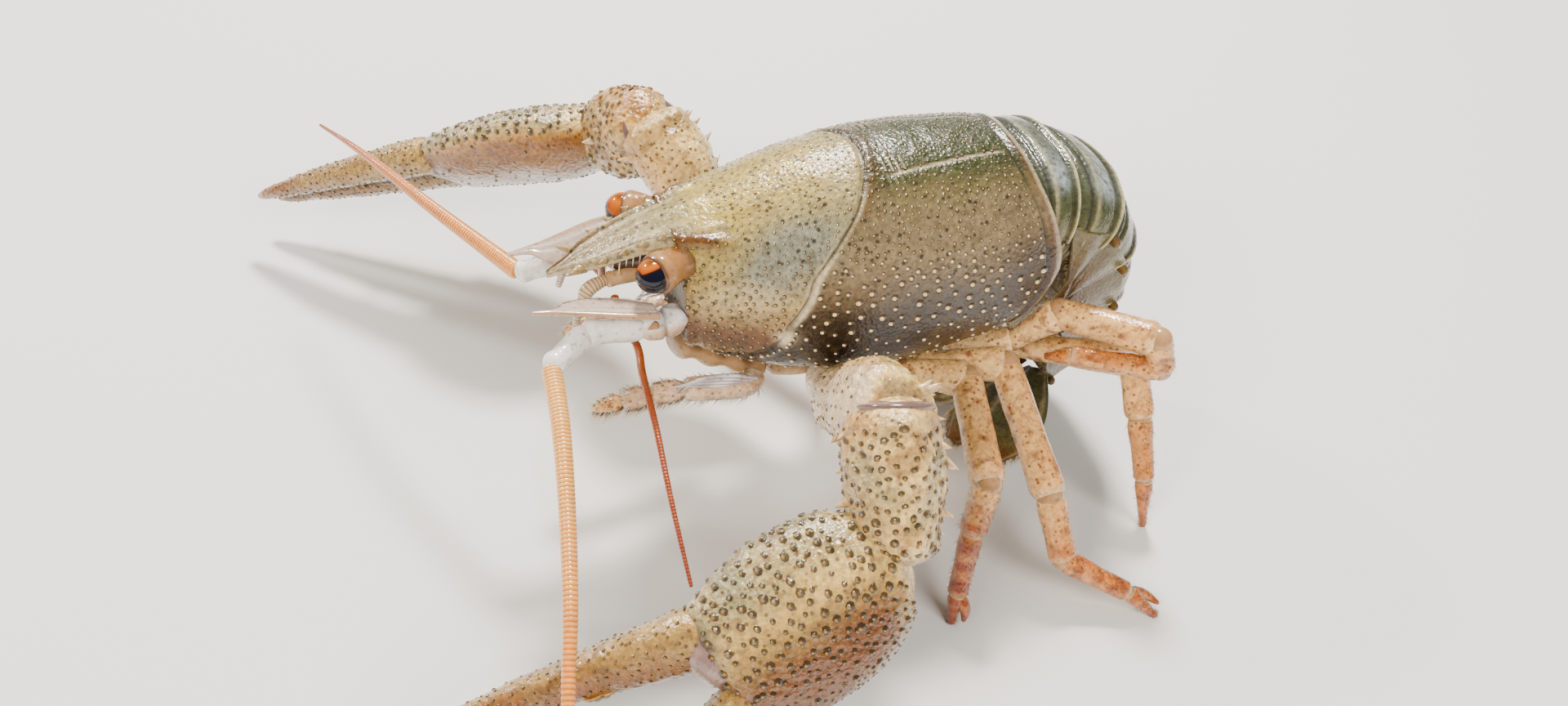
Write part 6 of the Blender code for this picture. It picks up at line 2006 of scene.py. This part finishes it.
        grow(self.hairs, roots, unit(unit(roots - (root + tip) / 2) + down * 0.6),
             spread(self.random, count, 0.5, 1), 0.03, Outline.HAIR, 3, columns(row / 34, column / 44),
             zone=0.6)

    def build_fan(self) -> None:
        """Build the telson and the two pairs of blades beside it."""
        along, inward = bearings(self.fan_heading)
        shape = Shape()
        self.add_blade(shape, 0, 0, 0, self.telson_widths, 1.15)
        for side in Side:
            base = self.points[-1] + inward * 3.2 + along * (2 + self.fan_length * 0.7) + (0,
                                                                                           side.value * 4.1,
                                                                                           0)
            grow(shape, base[None], along + (0, side.value * 0.35, 0), 1.7, 0.5, Outline.SPINE, 9, (0, 0),
                 zone=0.3, warm=0.4)
        shape.patches.clear()
        shape.build("telson_blade", ABDOMEN_FINISH, Slot.ABDOMEN, "telson")
        for side, (name, depth, offset, turn, widths) in product(Side, (
                ("inner", 0.4, 6.7, 14, self.inner_widths), ("outer", 2.5, 8.4, 38, self.outer_widths))):
            shape = Shape()
            self.add_blade(shape, depth, side.value * offset, side.value * turn, widths, 0.62)
            shape.build(f"uropod_blade_{side.label}_{name}", ABDOMEN_FINISH, Slot.ABDOMEN,
                        f"uropod_{side.label}_{name}")

    def add_blade(self, shape: Shape, depth: float, offset: float, turn: float, widths: Rows,
                  thickness: float) -> None:
        """Add one rounded lobe of the tail fan with its rib, seam and fringe.

        Args:
            shape: the lobe's piece.
            depth: how far it lies under the telson.
            offset: how far aside it starts.
            turn: how far it turns outward, in degrees.
            widths: its half widths.
            thickness: its half thickness.
        """
        along, inward = bearings(self.fan_heading)
        start = self.points[-1] + inward * (3.2 + depth) + along * 2
        angle = math.radians(turn)
        direction = along * math.cos(angle) + np.array((0, math.sin(angle), 0))
        share = np.concatenate(
            (np.linspace(0, 0.93, 50), 0.93 + 0.14 * np.sin(np.linspace(0.1, 1.5, 16))))[:, None]
        inside = np.minimum(share, 1)
        half = hermite(widths, inside[:, 0]) * np.sqrt(np.maximum(1 - step(share, 0.8, 1.12) ** 1.6, 0.01))
        cosine = np.cos(full_turn(60))
        sine = np.sin(full_turn(60))
        rib = 0.7 * hump(cosine, 0, 0.1) + 0.35 * hump(np.abs(cosine), 0.8, 0.07)
        seam = -0.35 * hump(share, 0.68, 0.02) * (thickness < 1)
        deep = sine * thickness * (1 - 0.4 * inside) * (0.8 + rib * (sine < 0) + seam)
        base = start + np.array((0, offset, 0)) + direction * (self.fan_length * share)
        across = unit(np.cross(direction, inward))
        grid = base[:, None] + across * (half * cosine)[..., None] + inward * deep[..., None]
        grid[..., 2] = np.maximum(grid[..., 2], FLOOR)
        shape.tube(
            grid, zone=0.75 - 0.5 * step(share, 0.6, 1.05), warm=0.35 * step(share, 0.85, 1.07),
            line=0.3 * hump(np.abs(cosine), 0.8, 0.08) - 0.4 * hump(share, 0.68, 0.015) * (thickness < 1))
        count = 240
        row = self.random.integers(40, 66, count)
        column = self.random.choice(np.array((0, 30)), count)
        roots = grid[row, column]
        last = row > 60
        roots[last] = grid[-4, self.random.integers(0, 60, int(last.sum()))]
        directions = unit(direction + 0.25 * self.random.normal(size=(count, 3)) * np.array((1, 1, 0.3)))
        lengths = spread(self.random, count, 1, 1.9)
        roots[:, 2] = np.maximum(roots[:, 2], FLOOR + HAIR_CLEARANCE)
        under = np.maximum(FLOOR + HAIR_CLEARANCE - (roots + directions * lengths[:, None])[:, 2], 0)
        grow(self.hairs, roots, directions, lengths, 0.035, Outline.HAIR, 3, columns(row / 66, column / 60),
             columns(0, 0, under), zone=0.5)


@dataclass
class Underside:
    """Breastplates between the legs, and the jaws ahead of them."""

    sternum: Path = ((-34.6, 0, -17.4), (-18, 0, -18), (1.6, 0, -18))
    sternum_profile: Rows = ((0, 6, 2), (0.2, 7.2, 2.4), (1, 7.2, 2.4))
    mouth: Path = ((-46.8, 0, -11), (-40, 0, -14), (-34, 0, -16.6))
    mouth_profile: Rows = ((0, 4.6, 2.2), (0.5, 6.3, 2.1), (1, 6.8, 1.6))

    def build(self) -> None:
        """Build the breastplates and the jaws."""
        plates = Limb(self.sternum, self.sternum_profile, (0, 0, 1), 1.5, 1.5)
        shape = Shape()
        plates.fill(shape, 0.3, 90, lambda f, a: 0.45 * np.abs(np.sin(f * 5 * math.pi)) ** 0.5 - 0.5
                    - 0.6 * hump(np.cos(a), 0, 0.14) * (np.sin(a) < 0),
                    lambda f, a: {"zone": 0.45, "line": -0.5 * hump(np.abs(np.sin(f * 5 * math.pi)), 0, 0.1)})
        shape.build("sternum_plates", JOINT_FINISH, Slot.JOINT, "sternum")
        jaws = Limb(self.mouth, self.mouth_profile, (0, 0, 1), 1.5, 1.5)
        shape = Shape()
        jaws.fill(shape, 0.3, 70, lambda f, a: -0.8 * hump(np.cos(a), 0, 0.12) * (np.sin(a) < 0)
                  + 0.25 * np.sin(f * 22), lambda f, a: {"zone": 0.4, "warm": 0.3})
        shape.build("jaws", JOINT_FINISH, Slot.JOINT, "mouth")


@dataclass(frozen=True)
class AreaLamp:
    """A soft light: where it is and what it looks at in millimetres of the row frame, its size and power.

    One that isn't glossy lights the object without a reflection in its wet shell.
    """

    name: str
    place: Point
    target: Point
    size: Span
    power: float
    colour: str = "#ffffff"
    glossy: bool = True


@dataclass
class Studio:
    """Pale floor, soft lights and the camera at the photograph's viewing angle."""

    azimuth: float = -25
    elevation: float = 43.2
    roll: float = -5.5
    place: Point = (-46.3, -112.9, 136.9)
    focal_pixels: float = 1500
    image_width: float = 1920
    sensor: float = 36
    floor_size: float = 4
    floor_colour: str = "#cfcecb"
    sky_colour: str = "#eef3f8"
    sky_strength: float = 0.3
    lamps: tuple[AreaLamp, ...] = (
        AreaLamp("lamp_key", (170, 400, 600), (0, 0, 20), (115, 90), 13.5, "#fffaf2"),
        AreaLamp("lamp_rim", (-300, 460, 430), (0, 0, 20), (80, 80), 3),
        AreaLamp("lamp_left", (-480, -260, 420), (0, 0, 20), (200, 240), 5.5, "#fff0dc", False),
        AreaLamp("lamp_front", (200, -520, 480), (0, 0, 20), (420, 300), 6.5, "#fffaf2", False),
    )

    def build(self) -> None:
        """Set up the floor, the lights and the camera."""
        mesh = bpy.data.meshes.new("floor")
        half = self.floor_size / 2
        mesh.from_pydata([(-half, -half, 0), (half, -half, 0), (half, half, 0), (-half, half, 0)], [],
                         [(0, 1, 2, 3)])
        floor = bpy.data.objects.new("floor", mesh)
        bpy.context.scene.collection.objects.link(floor)
        paper = bpy.data.materials.new("matt_paper")
        paper.use_nodes = True
        shader = paper.node_tree.nodes["Principled BSDF"]
        shader.inputs["Base Color"].default_value = linear(self.floor_colour)
        shader.inputs["Roughness"].default_value = 0.8
        mesh.materials.append(paper)
        world = bpy.data.worlds.new("studio")
        world.use_nodes = True
        background = world.node_tree.nodes["Background"]
        background.inputs[0].default_value = linear(self.sky_colour)
        background.inputs[1].default_value = self.sky_strength
        bpy.context.scene.world = world
        for lamp in self.lamps:
            self.add_lamp(lamp)
        self.add_camera()

    def add_lamp(self, lamp: AreaLamp) -> None:
        """Add one area light that looks at its target.

        Args:
            lamp: the light.
        """
        light = bpy.data.lights.new(lamp.name, "AREA")
        light.shape = "RECTANGLE"
        light.size = lamp.size[0] * MM
        light.size_y = lamp.size[1] * MM
        light.energy = lamp.power
        light.color = linear(lamp.colour)[:3]
        holder = bpy.data.objects.new(lamp.name, light)
        place = Vector(lamp.place) * MM
        holder.location = place
        holder.rotation_euler = (Vector(lamp.target) * MM - place).to_track_quat("-Z", "Y").to_euler()
        holder.visible_glossy = lamp.glossy
        bpy.context.scene.collection.objects.link(holder)

    def add_camera(self) -> None:
        """Add the camera with the photograph's direction, roll and field of view."""
        turn = math.radians(self.azimuth)
        tilt = math.radians(self.elevation)
        roll = math.radians(-self.roll)
        back = Vector((math.sin(turn) * math.cos(tilt), -math.cos(turn) * math.cos(tilt), math.sin(tilt)))
        level = Vector((math.cos(turn), math.sin(turn), 0))
        upright = back.cross(level)
        right = level * math.cos(roll) + upright * math.sin(roll)
        up = back.cross(right)
        data = bpy.data.cameras.new("camera")
        data.sensor_width = self.sensor
        data.lens = self.sensor * self.focal_pixels / self.image_width
        data.clip_start = 0.005
        camera = bpy.data.objects.new("camera", data)
        bpy.context.scene.collection.objects.link(camera)
        camera.matrix_world = Matrix.Translation(Vector(self.place) * MM) @ Matrix(
            (right, up, back)).transposed().to_4x4()
        bpy.context.scene.camera = camera


def main() -> None:
    """Load the solids, build every sub-assembly in order and note the sizes."""
    logging.basicConfig(level=logging.INFO, format="%(name)s %(message)s")
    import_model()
    random = np.random.default_rng(SEED)
    Studio().build()
    carapace = Carapace(random)
    carapace.build()
    Underside().build()
    Head(random).build()
    for side, sizes in ((Side.LEFT, LEFT_CLAW), (Side.RIGHT, RIGHT_CLAW)):
        Claw(random, side, **sizes).build()
    for name, path in LEG_PATHS.items():
        Leg(random, name, path, name[:4] in PINCER_LEGS, stain=LEG_STAINS.get(name[:4], 0.35)).build()
    Abdomen(random, carapace).build()


if __name__ == "__main__":
    main()
